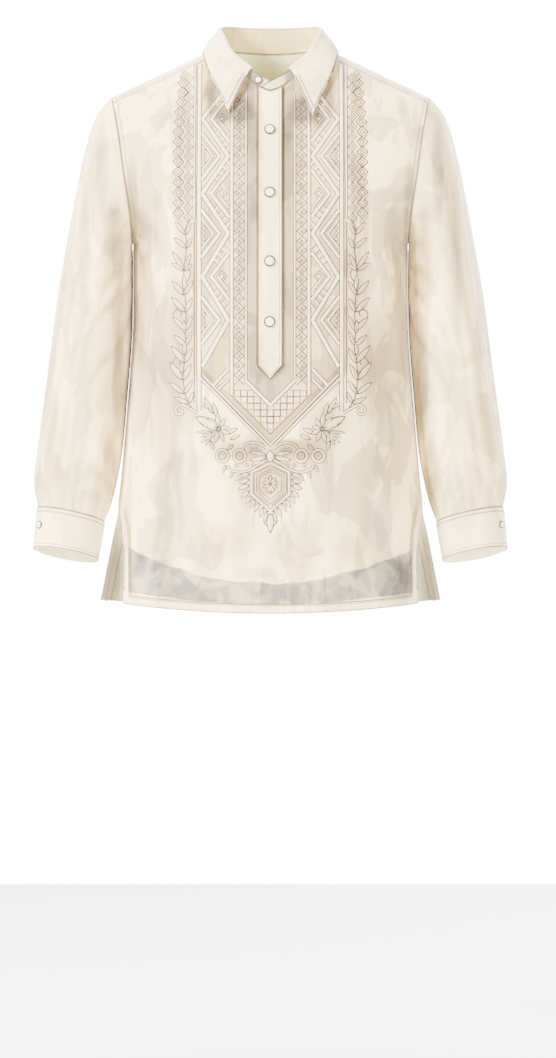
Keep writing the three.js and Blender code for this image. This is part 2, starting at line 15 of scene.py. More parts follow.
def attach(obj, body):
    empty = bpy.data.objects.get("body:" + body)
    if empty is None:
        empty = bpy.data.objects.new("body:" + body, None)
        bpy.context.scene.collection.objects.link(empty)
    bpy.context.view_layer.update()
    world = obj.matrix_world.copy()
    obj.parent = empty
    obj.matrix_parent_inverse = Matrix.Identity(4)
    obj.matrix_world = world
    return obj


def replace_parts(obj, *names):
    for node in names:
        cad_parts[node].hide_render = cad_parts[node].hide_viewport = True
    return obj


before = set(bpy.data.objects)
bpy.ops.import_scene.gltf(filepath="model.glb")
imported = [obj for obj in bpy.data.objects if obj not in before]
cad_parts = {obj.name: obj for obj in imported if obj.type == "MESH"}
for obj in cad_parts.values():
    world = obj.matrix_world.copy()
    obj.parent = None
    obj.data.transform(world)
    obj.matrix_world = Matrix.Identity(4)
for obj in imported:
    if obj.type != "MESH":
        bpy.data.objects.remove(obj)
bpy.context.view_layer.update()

# Camera: straight in front with a long lens. The picture is 556 x 1058, and the garment's
# neck point lies 55 pixels below its top edge and 7.5 pixels left of its middle.
PIXEL = 0.00142
PICTURE = (556, 1058)
CAMERA_DISTANCE = 6.5
CAMERA_HEIGHT, CAMERA_RIGHT = -0.673, 0.0106
camera_data = bpy.data.cameras.new("camera")
camera_data.sensor_fit = "VERTICAL"
camera_data.sensor_height = 36
camera_data.lens = 36 * CAMERA_DISTANCE / (PICTURE[1] * PIXEL)
camera_data.clip_end = 40
camera = bpy.data.objects.new("camera", camera_data)
bpy.context.collection.objects.link(camera)
camera.location = (CAMERA_RIGHT, -CAMERA_DISTANCE, CAMERA_HEIGHT)
camera.rotation_euler = (math.radians(90), 0, 0)
bpy.context.scene.camera = camera

# Floor: a plain pale sheet at the height of the wearer's feet. It belongs to the setting, and
# is no piece of the garment.
FLOOR_HEIGHT = -1.41
bpy.ops.mesh.primitive_plane_add(size=6, location=(0, 0, FLOOR_HEIGHT))
floor = bpy.context.object
floor.name = "floor"
bpy.ops.object.transform_apply(location=True, rotation=True, scale=True)
floor_paint = bpy.data.materials.new("floor_pale")
floor_paint.use_nodes = True
floor_paint.node_tree.nodes["Principled BSDF"].inputs["Base Color"].default_value = (0.97, 0.97, 0.965, 1)
floor_paint.node_tree.nodes["Principled BSDF"].inputs["Roughness"].default_value = 0.9
floor.data.materials.append(floor_paint)

# Light: a broad soft key from the upper left, a weaker fill from the right, and a white room
# that gives less light than it shows
LAMPS_AIM = Vector((0, 0, -0.45))
ROOM_LIGHT, ROOM_SHOWN = 0.42, 17.0
for name, place, size, power in [
    ("key", (-3.2, -2.2, 1.7), 1.0, 1400),
    ("fill", (2.8, -4.2, -0.1), 2.0, 620),
    ("above", (0.2, 1.8, 2.6), 2.8, 600),
    ("behind", (2.4, 3.2, 0.4), 1.6, 420),
]:
    lamp_data = bpy.data.lights.new(name, "AREA")
    lamp_data.size = size
    lamp_data.energy = power
    lamp = bpy.data.objects.new(name, lamp_data)
    bpy.context.collection.objects.link(lamp)
    lamp.location = place
    lamp.rotation_euler = (LAMPS_AIM - Vector(place)).to_track_quat("-Z", "Y").to_euler()
room = bpy.data.worlds.new("room")
bpy.context.scene.world = room
room.use_nodes = True
backdrop = room.node_tree.nodes["Background"]
backdrop.inputs["Color"].default_value = (1, 1, 1, 1)
seen = room.node_tree.nodes.new("ShaderNodeLightPath")
glow = room.node_tree.nodes.new("ShaderNodeMapRange")
glow.inputs["To Min"].default_value = ROOM_LIGHT
glow.inputs["To Max"].default_value = ROOM_SHOWN
room.node_tree.links.new(seen.outputs["Is Camera Ray"], glow.inputs["Value"])
room.node_tree.links.new(glow.outputs["Result"], backdrop.inputs["Strength"])


# Front and back panels: fine ivory cloth, cut to hang straight from the yoke, closed at the
# side seams down to the slits, and creased where it falls from the chest and the underarms.
# The tables are in millimetres, and every mesh is made in metres.
PANEL_WALL = 1.0
NECK = {"half": 76, "side": 10, "front": -58, "back": 6, "dip": 1.5}
SHOULDER = (225, -61)
UNDERARM = -270
ARMHOLE_DEPTH = 80
ARMHOLE_MIDDLE = (SHOULDER[1] + UNDERARM) / 2
SLIT_TOP = -647
SLIT_SWING = {"front": 34, "back": 6}
SLIT_OVER = 110
HEM = {"front": (-791, 13), "back": (-788, 14)}
YOKE_BACK = -95
YOKE_FRONT = -72
PLACKET_SLIT = -436
SEAM = 0.4
WIDTH = {
    "front": [(-61, 225), (-118, 214), (-175, 206), (-226, 198.5), (-270, 195), (-390, 195),
              (-500, 203), (-600, 211.5), (-647, 216), (-675, 211), (-714, 209), (-795, 209)],
    "back": [(-61, 225), (-118, 214), (-175, 206), (-226, 198.5), (-270, 195), (-390, 195),
             (-500, 203), (-600, 211.5), (-647, 216), (-675, 222), (-714, 230), (-795, 246)],
}
DEPTH = {
    "front": [(15, 37), (-20, 52), (-58, 68), (-90, 82), (-130, 98), (-180, 112), (-270, 125),
              (-400, 127), (-520, 124), (-650, 126), (-795, 133)],
    "back": [(15, 58), (-20, 76), (-58, 91), (-90, 101), (-130, 109), (-180, 115), (-270, 118),
             (-400, 113), (-520, 113), (-650, 121), (-795, 133)],
}
# The largest folds: place across, top, bottom, spread, and how far each stands out
FOLDS = {
    "front": [(-150, -330, -830, 30, -6), (-92, -520, -840, 26, 4), (-34, -560, -840, 24, -3),
              (40, -580, -850, 26, 3.5), (104, -500, -840, 26, -4), (158, -350, -830, 28, -6),
              (-176, -190, -420, 20, -5), (176, -190, -400, 20, -5)],
    "back": [(-140, -180, -840, 30, -8), (-62, -300, -850, 30, 6), (8, -260, -840, 28, -6),
             (74, -340, -850, 28, 6), (146, -190, -840, 30, -8)],
}
# Smaller creases: start and end in the front view, spread, and how far each stands out
CREASE_OUT = 1.6
CREASES = {
    "front": [
        (-204, -150, -160, -420, 9, -2.6), (-197, -205, -150, -300, 8, -2.2),
        (-192, -255, -160, -520, 11, -3.0),
        (-199, -120, -176, -250, 7, 1.6), (-190, -330, -178, -600, 10, -2.2),
        (-165, -430, -176, -700, 9, 1.8),
        (-130, -560, -150, -790, 12, -2.4), (-112, -600, -100, -800, 9, 1.7),
        (-70, -640, -86, -800, 10, -1.8),
        (-24, -690, -38, -800, 8, 1.3), (22, -680, 30, -800, 9, -1.5), (70, -600, 62, -790, 10, -1.9),
        (96, -660, 88, -800, 8, 1.4), (126, -560, 140, -800, 11, -2.3), (168, -470, 180, -760, 9, 1.8),
        (206, -140, 168, -400, 9, -2.4), (199, -215, 152, -320, 8, -2.0), (193, -262, 170, -540, 11, -2.0),
        (192, -350, 184, -640, 9, -1.2), (200, -110, 180, -240, 7, 1.5), (188, -90, 120, -80, 8, -1.2),
        (-188, -92, -126, -84, 8, -1.3), (-60, -700, -10, -745, 9, -0.9), (150, -690, 205, -740, 8, -1.0),
        (-198, -700, -140, -735, 8, -1.1), (60, -560, 120, -600, 9, -0.8), (-140, -480, -100, -540, 9, -0.9),
    ],
    "back": [
        (-205, -140, -160, -330, 9, -2.6), (-196, -230, -150, -500, 11, -2.8),
        (-120, -120, -100, -420, 10, -1.9),
        (-84, -110, -78, -300, 8, 1.5), (-30, -180, -40, -520, 11, -2.2), (34, -150, 46, -480, 10, 1.8),
        (92, -115, 100, -360, 9, -2.0), (128, -130, 118, -440, 9, 1.4), (204, -150, 158, -360, 9, -2.5),
        (195, -240, 152, -560, 11, -2.8), (-170, -420, -186, -720, 10, -2.3),
        (-104, -500, -112, -800, 10, -2.2),
        (-30, -560, -22, -800, 9, 1.7), (44, -540, 36, -800, 10, -1.9), (112, -480, 124, -790, 10, 2.0),
        (176, -440, 190, -740, 9, -2.2), (-60, -640, -20, -700, 9, -1.0), (80, -660, 140, -700, 9, -1.0),
        (-215, -690, -150, -730, 8, -1.0), (10, -620, 16, -800, 8, -1.4),
    ],
}


def mix(start, end, part):
    return start + (end - start) * part


def ease(value):
    value = min(max(value, 0), 1)
    return value * value * (3 - 2 * value)


def span(count):
    return [step / count for step in range(count + 1)]


def read_table(rows, place, column=1):
    """One column of a table at a place, on a smooth curve through the rows."""
    sign = 1 if rows[1][0] > rows[0][0] else -1
    row = 0
    while row < len(rows) - 2 and (place - rows[row + 1][0]) * sign > 0:
        row += 1

    def slope(index):
        before, after = rows[max(index - 1, 0)], rows[min(index + 1, len(rows) - 1)]
        return (after[column] - before[column]) / (after[0] - before[0])

    length = rows[row + 1][0] - rows[row][0]
    part = min(max((place - rows[row][0]) / length, 0), 1)
    start, end = rows[row][column], rows[row + 1][column]
    bend = part * (1 - part) * length
    curve = bend * ((1 - part) * slope(row) - part * slope(row + 1))
    return mix(start, end, part) + curve - bend * (1 - 2 * part) * (end - start) / length


SHOULDER_SLOPE = (SHOULDER[1] - NECK["side"]) / (SHOULDER[0] - NECK["half"])


def neck_height(side, x):
    across = min(abs(x) / NECK["half"], 1)
    dip = NECK["dip"] if side == "front" else 2
    return mix(NECK[side], NECK["side"], across ** dip)


def half_width(side, z):
    if z > SHOULDER[1]:
        return NECK["half"] + (z - NECK["side"]) / SHOULDER_SLOPE
    return read_table(WIDTH[side], z)


def edge_depth(side, z):
    reach = (z - ARMHOLE_MIDDLE) / (SHOULDER[1] - ARMHOLE_MIDDLE)
    if abs(reach) < 1:
        return max(ARMHOLE_DEPTH * math.sqrt(1 - reach * reach), SEAM / 2)
    return max(SLIT_SWING[side] * ease((SLIT_TOP - z) / SLIT_OVER), SEAM / 2)


def soft_edge_depth(side, z):
    bottom = UNDERARM - 70
    if z > ARMHOLE_MIDDLE or z < bottom:
        return edge_depth(side, z)
    return ARMHOLE_DEPTH * ease((z - bottom) / (ARMHOLE_MIDDLE - bottom))


def fold_height(side, x, z):
    height = 0
    for place, top, bottom, wide, out in FOLDS[side]:
        along = (z - bottom) / (top - bottom)
        if 0 < along < 1:
            across = (x - place) / wide
            height += out * math.exp(-across * across) * math.sin(math.pi * math.sqrt(1 - along))
    return height


def crease_height(creases, x, z):
    """How far the listed creases move the cloth out at a place."""
    height = 0
    for from_x, from_z, to_x, to_z, wide, out in creases:
        run_x, run_z = to_x - from_x, to_z - from_z
        along = ((x - from_x) * run_x + (z - from_z) * run_z) / (run_x * run_x + run_z * run_z)
        if not 0 < along < 1:
            continue
        bow = wide * 0.7 * math.sin(along * 5 + from_x)
        length = math.hypot(run_x, run_z)
        away = (((x - from_x) * run_z - (z - from_z) * run_x) / length + bow) / wide
        if abs(away) < 3:
            height += CREASE_OUT * out * math.exp(-away * away) * math.sin(math.pi * along) ** 0.7
    return height


def body_depth(side, x, z):
    across = min(abs(x) / half_width(side, z), 1)
    flat = ease((-61 - z) / 34) * ease((z + 320) / 110)
    profile = mix((1 - across ** 2.2) ** (1 / 2.2), 1 - across ** 3, flat)
    edge = mix(soft_edge_depth(side, z), edge_depth(side, z), across ** 24)
    middle = read_table(DEPTH[side], z)
    creases = fold_height(side, x, z) + crease_height(CREASES[side], x, z)
    return edge + (middle - edge + creases) * profile


def body_point(side, x, z, lift=0.0):
    """A point of the body, moved out by `lift`, and its outward normal."""
    step = 0.6
    facing = -1 if side == "front" else 1
    slope_x = body_depth(side, x + step, z) - body_depth(side, x - step, z)
    slope_z = body_depth(side, x, z + step) - body_depth(side, x, z - step)
    normal = Vector((-slope_x, facing * 2 * step, -slope_z)).normalized()
    return Vector((x, facing * body_depth(side, x, z), z)) + normal * lift, normal


def select_only(piece):
    bpy.ops.object.select_all(action="DESELECT")
    piece.select_set(True)
    bpy.context.view_layer.objects.active = piece


def make_cloth(name, rows, wall, outward, finish, closed=False, parted=None, wash=None):
    """A sheet of cloth from rows of points: the outside surface as given, its wall inward,
    with a UV map in metres along the cloth and a painted wash of its own. Its finish is the
    outer face's material and the inner one's."""
    width = len(rows[0])
    points = [point for row in rows for point in row]
    quads = []
    for row in range(len(rows) - 1):
        for column in range(width if closed else width - 1):
            beside = (column + 1) % width
            quads.append([row * width + column, row * width + beside,
                          (row + 1) * width + beside, (row + 1) * width + column])
    twins = {}
    if parted:
        for index, point in list(enumerate(points)):
            if index % width == parted and point.z > PLACKET_SLIT:
                twins[index] = len(points)
                points.append(Vector((SEAM, point.y, point.z)))
                points[index] = Vector((-SEAM, point.y, point.z))
        for number, quad in enumerate(quads):
            if any(index % width > parted for index in quad):
                quads[number] = [twins.get(index, index) for index in quad]
    first = quads[len(quads) // 2]
    across = (points[first[2]] - points[first[0]]).cross(points[first[3]] - points[first[1]])
    middle = sum((points[index] for index in first), Vector()) / 4
    if across.dot(outward(middle)) < 0:
        quads = [quad[::-1] for quad in quads]
    mesh = bpy.data.meshes.new(name)
    mesh.from_pydata([point * 0.001 for point in points], [], quads)
    along, up = {}, {}
    for row in range(len(rows)):
        length = 0.0
        for column in range(width):
            index = row * width + column
            if column:
                length += (points[index] - points[index - 1]).length
            along[index] = length
            up[index] = 0.0
            if row:
                up[index] = up[index - width] + (points[index] - points[index - width]).length
        half = length / 2
        for column in range(width):
            along[row * width + column] -= half
    for index, twin in twins.items():
        along[twin], up[twin] = along[index], up[index]
    uv = mesh.uv_layers.new(name="cloth")
    for loop in mesh.loops:
        uv.data[loop.index].uv = (along[loop.vertex_index] * 0.001, up[loop.vertex_index] * 0.001)
    # The wash holds the piece's tones and its painted shade
    paint = mesh.color_attributes.new("wash", "FLOAT_COLOR", "POINT")
    for index, point in enumerate(points):
        paint.data[index].color = (*(wash(point) if wash else (1, 1, 1)), 1)
    piece = bpy.data.objects.new(name, mesh)
    bpy.context.collection.objects.link(piece)
    select_only(piece)
    for material in finish:
        mesh.materials.append(material)
    solid = piece.modifiers.new("wall", "SOLIDIFY")
    solid.thickness = wall * 0.001
    solid.offset = -1
    solid.material_offset = 1
    bpy.ops.object.modifier_apply(modifier="wall")
    bpy.ops.object.shade_smooth_by_angle(angle=math.radians(50))
    return piece


COLUMNS = 112
PLACES = [2 * part - 1 for part in span(COLUMNS)]


def across_at(place):
    return math.copysign(math.sin(abs(place) * math.pi / 2) ** (2 / 2.2), place)


def lower_row(side, part):
    """A row below the underarm, from the hem's bow up to a level line."""
    low, rise = HEM[side]
    row = []
    for place in PLACES:
        across = across_at(place)
        z = mix(low + rise * across * across, UNDERARM, part)
        row.append(body_point(side, across * half_width(side, z), z)[0])
    return row


NECK_SHARE = 0.4
FRONT_RAY = 113


def front_top(place):
    """The front's top edge: the neckline in the middle, the yoke's seam to each side."""
    sign = math.copysign(1, place)
    share = abs(place)
    if share <= NECK_SHARE:
        x = NECK["half"] * math.sin(math.radians(mix(180, FRONT_RAY, share / NECK_SHARE)))
        return sign * x, neck_height("front", x) - SEAM
    start = NECK["half"] * math.sin(math.radians(FRONT_RAY))
    end = YOKE_FRONT - SEAM
    part = math.sin((share - NECK_SHARE) / (1 - NECK_SHARE) * math.pi / 2)
    x = mix(start, half_width("front", end), part)
    z = mix(neck_height("front", start) - SEAM, end, part)
    return sign * x, z


def armhole_rows(count, top):
    reach = (SHOULDER[1] - UNDERARM) / 2
    angle = math.acos((UNDERARM + reach - top) / reach)
    return [reach * (1 - math.cos(angle * part)) / (top - UNDERARM) for part in span(count)[1:]]


def shaded(tint, height):
    """Paints shade into the tint of a trough, by how far the cloth stands in."""
    share = min(max(-height / CREASE_DEEP, 0), 1)
    return [old * mix(1, tone, share) for old, tone in zip(tint, CREASE_SHADE)]


def side_shade(x, z):
    """How much painted shade darkens the body's side where the sleeve lies against it."""
    from_edge = half_width("front", z) - abs(x)
    return 0.8 * ease((1.8 - from_edge) / 1.8) * ease((-240 - z) / 30) * ease((z + 570) / 40)


# The front's tint at a point: its ovals of tone and painted shade, painted shade in its troughs, and painted
# shade beside the sleeves
def front_wash(point):
    height = fold_height("front", point.x, point.z) + crease_height(CREASES["front"], point.x, point.z)
    tint = shaded(wash_at(FRONT_WASHES, point.x, point.z), height)
    share = side_shade(point.x, point.z)
    return [old * mix(1, tone, share) for old, tone in zip(tint, TAN_SHADE)]


# The back's tint at a point: its ovals of tone and painted shade, and painted shade in its troughs
def back_wash(point):
    height = fold_height("back", point.x, point.z) + crease_height(CREASES["back"], point.x, point.z)
    return shaded(wash_at(BACK_WASHES, point.x, point.z), height)


def wash_at(washes, x, z):
    """Soft washes of colour, each an oval with a tint and a strength. Some are the cloth's own tones and some
    are painted shade.
    """
    tint = [1.0, 1.0, 1.0]
    for at_x, at_z, wide, high, strength, colour in washes:
        away = ((x - at_x) / wide) ** 2 + ((z - at_z) / high) ** 2
        if away < 4:
            share = strength * math.exp(-away ** 3)
            tint = [mix(old, new, share) for old, new in zip(tint, colour)]
    return tint


# WARM, GREY and OCHRE tint the cloth and its ground in their own tones. The tan tint, SHADE and CREASE_SHADE
# are painted shade: in troughs, beside the sleeves, at the slits and under the collar's leaves.
WARM = (0.58, 0.47, 0.31)
TAN_SHADE = (0.20, 0.165, 0.14)
GREY = (0.27, 0.30, 0.42)
SHADE = (0.15, 0.15, 0.17)
OCHRE = (0.34, 0.265, 0.185)
CREASE_SHADE = (0.33, 0.30, 0.28)
CREASE_DEEP = 12
# The SHADE ovals are painted shadows under the collar's leaves, beside the placket's top and at the hem's
# corners, and the tan ovals are painted shade at the body's sides by the underarms.
FRONT_WASHES = [
    (-186, -330, 16, 120, 0.7, WARM), (-194, -215, 9, 70, 0.6, TAN_SHADE), (188, -330, 12, 130, 0.15, WARM),
    (195, -215, 8, 70, 0.5, TAN_SHADE), (-150, -520, 26, 80, 0.45, WARM), (150, -450, 24, 80, 0.45, WARM),
    (-205, -700, 10, 60, 0.5, WARM), (205, -700, 10, 60, 0.5, WARM), (-120, -580, 30, 20, 0.4, GREY),
    (28, -690, 40, 34, 0.35, GREY), (-20, -735, 30, 9, 0.35, GREY), (112, -700, 26, 20, 0.4, WARM),
    (-66, -690, 34, 24, 0.4, WARM), (34, -700, 30, 26, 0.3, WARM), (-34, -680, 20, 40, 0.25, GREY),
    (-43, -84, 18, 24, 0.85, SHADE), (43, -86, 18, 24, 0.8, SHADE), (-66, -92, 13, 14, 0.85, SHADE),
    (65, -96, 13, 14, 0.8, SHADE), (-84, -62, 9, 34, 0.75, SHADE), (83, -64, 8, 34, 0.75, SHADE),
    (-24, -120, 9, 46, 0.5, SHADE), (24, -110, 8, 40, 0.4, SHADE), (0, -240, 38, 200, 0.12, GREY),
    (-36, -562, 32, 15, 0.75, OCHRE), (36, -562, 32, 15, 0.75, OCHRE), (-70, -556, 22, 20, 0.5, OCHRE),
    (70, -556, 22, 20, 0.5, OCHRE), (-86, -520, 24, 22, 0.4, OCHRE), (86, -520, 24, 22, 0.4, OCHRE),
    (0, -614, 25, 32, 0.55, OCHRE), (0, -600, 44, 26, 0.45, WARM), (-120, -130, 12, 120, 0.55, WARM),
    (120, -130, 12, 120, 0.55, WARM), (-122, -370, 17, 130, 0.5, WARM), (122, -370, 17, 130, 0.5, WARM),
    (-182, -722, 9, 20, 0.5, SHADE), (186, -738, 17, 34, 0.45, SHADE), (172, -600, 14, 60, 0.45, WARM),
]
# The tan ovals at the hem's two ends are painted shade on the back panel at the slits, seen on its inside
# through them.
BACK_WASHES = [
    (-185, -330, 18, 130, 0.6, WARM), (185, -330, 18, 130, 0.6, WARM), (-140, -500, 26, 140, 0.35, GREY),
    (140, -500, 26, 140, 0.35, GREY), (8, -420, 24, 150, 0.25, WARM), (-90, -738, 60, 12, 0.6, GREY),
    (70, -742, 60, 10, 0.6, GREY), (-236, -730, 26, 90, 0.97, TAN_SHADE), (236, -730, 26, 90, 0.97, TAN_SHADE),
]


def soft_node(tree, kind, **values):
    """A shader node with its settings, and its sockets' values by name or number."""
    made = tree.nodes.new(kind)
    sockets = values.pop("sockets", {})
    for name, value in values.items():
        setattr(made, name, value)
    for name, value in sockets.items():
        made.inputs[name].default_value = value
    return made


def new_group(name, outputs):
    group = bpy.data.node_groups.new(name, "ShaderNodeTree")
    for label, kind in outputs:
        group.interface.new_socket(name=label, in_out="OUTPUT", socket_type=kind)
    return group


# Clouds: broad soft patches in fine cloth, as light falls through and off its layers
clouds = new_group("cloth_clouds", [("Patch", "NodeSocketFloat"), ("Streak", "NodeSocketFloat")])
clouds_out = soft_node(clouds, "NodeGroupOutput")
place = soft_node(clouds, "ShaderNodeTexCoord")
drawn = soft_node(clouds, "ShaderNodeMapping", sockets={"Scale": (1.0, 1.0, 0.6)})
clouds.links.new(place.outputs["Object"], drawn.inputs["Vector"])
broad = soft_node(clouds, "ShaderNodeTexNoise",
                  sockets={"Scale": 13.0, "Detail": 3.5, "Roughness": 0.5, "Distortion": 0.7})
clouds.links.new(drawn.outputs["Vector"], broad.inputs["Vector"])
broad_steps = soft_node(clouds, "ShaderNodeMapRange", interpolation_type="SMOOTHSTEP",
                        sockets={"From Min": 0.49, "From Max": 0.53})
clouds.links.new(broad.outputs["Fac"], broad_steps.inputs["Value"])
clouds.links.new(broad_steps.outputs["Result"], clouds_out.inputs["Patch"])
stretch = soft_node(clouds, "ShaderNodeMapping", sockets={"Scale": (1.0, 1.0, 0.28)})
clouds.links.new(place.outputs["Object"], stretch.inputs["Vector"])
long_streaks = soft_node(clouds, "ShaderNodeTexNoise",
                         sockets={"Scale": 34.0, "Detail": 3.0, "Roughness": 0.5, "Distortion": 0.6})
clouds.links.new(stretch.outputs["Vector"], long_streaks.inputs["Vector"])
streak_steps = soft_node(clouds, "ShaderNodeMapRange", interpolation_type="SMOOTHSTEP",
                         sockets={"From Min": 0.53, "From Max": 0.57})
clouds.links.new(long_streaks.outputs["Fac"], streak_steps.inputs["Value"])
clouds.links.new(streak_steps.outputs["Result"], clouds_out.inputs["Streak"])

# Weave: plain-woven leaf fibre, its threads uneven in thickness both ways along the cloth
weave = new_group("fibre_weave", [("Height", "NodeSocketFloat"), ("Slub", "NodeSocketFloat")])
weave_out = soft_node(weave, "NodeGroupOutput")
along_cloth = soft_node(weave, "ShaderNodeUVMap", uv_map="cloth")
slub_sum = soft_node(weave, "ShaderNodeMath", operation="ADD")
thread_sum = soft_node(weave, "ShaderNodeMath", operation="ADD")
for number, scale in enumerate([(1500.0, 90.0, 1.0), (90.0, 1500.0, 1.0)]):
    turn = soft_node(weave, "ShaderNodeMapping", sockets={"Scale": scale})
    weave.links.new(along_cloth.outputs["UV"], turn.inputs["Vector"])
    slub = soft_node(weave, "ShaderNodeTexNoise", sockets={"Scale": 1.0, "Detail": 2.0})
    weave.links.new(turn.outputs["Vector"], slub.inputs["Vector"])
    weave.links.new(slub.outputs["Fac"], slub_sum.inputs[number])
    threads = soft_node(weave, "ShaderNodeTexWave", bands_direction="XY"[number],
                        sockets={"Scale": 520.0, "Distortion": 1.0, "Detail": 1.0, "Detail Scale": 0.3})
    weave.links.new(along_cloth.outputs["UV"], threads.inputs["Vector"])
    weave.links.new(threads.outputs["Fac"], thread_sum.inputs[number])
height_sum = soft_node(weave, "ShaderNodeMath", operation="ADD")
weave.links.new(slub_sum.outputs[0], height_sum.inputs[0])
weave.links.new(thread_sum.outputs[0], height_sum.inputs[1])
weave.links.new(height_sum.outputs[0], weave_out.inputs["Height"])
weave.links.new(slub_sum.outputs[0], weave_out.inputs["Slub"])


def cloth_material(name, light, deep, cool, patchy=1.0, sheen=0.25):
    """Woven cloth in three tones, clouded softly, with its painted wash of tone and shade and its weave."""
    material = bpy.data.materials.new(name)
    material.use_nodes = True
    tree = material.node_tree
    shader = tree.nodes["Principled BSDF"]
    patches = soft_node(tree, "ShaderNodeGroup", node_tree=clouds)
    threads = soft_node(tree, "ShaderNodeGroup", node_tree=weave)
    steps = []
    for fac, share, colour in [("Patch", 0.54 * patchy, deep), ("Streak", 0.42 * patchy, cool)]:
        amount = soft_node(tree, "ShaderNodeMath", operation="MULTIPLY", sockets={1: share})
        tree.links.new(patches.outputs[fac], amount.inputs[0])
        blend = soft_node(tree, "ShaderNodeMix", data_type="RGBA", sockets={6: (*light, 1), 7: (*colour, 1)})
        tree.links.new(amount.outputs[0], blend.inputs[0])
        if steps:
            tree.links.new(steps[-1].outputs[2], blend.inputs[6])
        steps.append(blend)
    wash = soft_node(tree, "ShaderNodeVertexColor", layer_name="wash")
    washed = soft_node(tree, "ShaderNodeMix", data_type="RGBA", blend_type="MULTIPLY", sockets={0: 1.0})
    tree.links.new(steps[-1].outputs[2], washed.inputs[6])
    tree.links.new(wash.outputs["Color"], washed.inputs[7])
    grain = soft_node(tree, "ShaderNodeMapRange",
                      sockets={"From Min": 0.7, "From Max": 1.3, "To Min": 0.965, "To Max": 1.02})
    tree.links.new(threads.outputs["Slub"], grain.inputs["Value"])
    grained = soft_node(tree, "ShaderNodeMix", data_type="RGBA", blend_type="MULTIPLY", sockets={0: 1.0})
    tree.links.new(washed.outputs[2], grained.inputs[6])
    tree.links.new(grain.outputs["Result"], grained.inputs[7])
    tree.links.new(grained.outputs[2], shader.inputs["Base Color"])
    rough = soft_node(tree, "ShaderNodeMapRange",
                      sockets={"From Min": 0.7, "From Max": 1.3, "To Min": 0.52, "To Max": 0.68})
    tree.links.new(threads.outputs["Slub"], rough.inputs["Value"])
    tree.links.new(rough.outputs["Result"], shader.inputs["Roughness"])
    bump = soft_node(tree, "ShaderNodeBump", sockets={"Strength": 0.25, "Distance": 0.00025})
    tree.links.new(threads.outputs["Height"], bump.inputs["Height"])
    tree.links.new(bump.outputs["Normal"], shader.inputs["Normal"])
    shader.inputs["Sheen Weight"].default_value = sheen
    shader.inputs["Sheen Roughness"].default_value = 0.4
    shader.inputs["Specular IOR Level"].default_value = 0.3
    return material


def breast_ground(material):
    """Tints the breast panel's ground, and paints shade on the strips beside the placket: each field ends on
    the lines that are sewn over it.
    """
    tree = material.node_tree
    place = soft_node(tree, "ShaderNodeTexCoord")
    apart = soft_node(tree, "ShaderNodeSeparateXYZ")
    tree.links.new(place.outputs["Object"], apart.inputs["Vector"])
    across = soft_node(tree, "ShaderNodeMath", operation="ABSOLUTE")
    tree.links.new(apart.outputs["X"], across.inputs[0])
    above_point = soft_node(tree, "ShaderNodeMath", operation="SUBTRACT")
    tree.links.new(apart.outputs["Z"], above_point.inputs[0])
    tree.links.new(across.outputs[0], above_point.inputs[1])
    painted = tree.nodes["Principled BSDF"].inputs["Base Color"].links[0].from_socket
    # The first three fields are the ground's own tan tones, over the panel and in a V-shaped band low in it;
    # the last two are painted shade beside the placket, darkest at its edge.
    for half, point, tint in [
        (0.1085, -0.5640, (0.66, 0.61, 0.55)), (0.0960, -0.5560, (0.58, 0.54, 0.48)),
        (0.0960, -0.5420, (1.66, 1.78, 2.00)), (0.0340, -0.5010, (0.56, 0.58, 0.68)),
        (0.0196, -0.4660, (0.42, 0.38, 0.34)),
    ]:
        inside = soft_node(tree, "ShaderNodeMapRange",
                           sockets={"From Min": half + 0.0006, "From Max": half - 0.0006})
        tree.links.new(across.outputs[0], inside.inputs["Value"])
        over = soft_node(tree, "ShaderNodeMapRange",
                         sockets={"From Min": point - 0.0008, "From Max": point + 0.0008})
        tree.links.new(above_point.outputs[0], over.inputs["Value"])
        both = soft_node(tree, "ShaderNodeMath", operation="MULTIPLY")
        tree.links.new(inside.outputs["Result"], both.inputs[0])
        tree.links.new(over.outputs["Result"], both.inputs[1])
        tinted = soft_node(tree, "ShaderNodeMix", data_type="RGBA", blend_type="MULTIPLY",
                           sockets={7: (*tint, 1)})
        tree.links.new(both.outputs[0], tinted.inputs[0])
        tree.links.new(painted, tinted.inputs[6])
        painted = tinted.outputs[2]
    tree.links.new(painted, tree.nodes["Principled BSDF"].inputs["Base Color"])


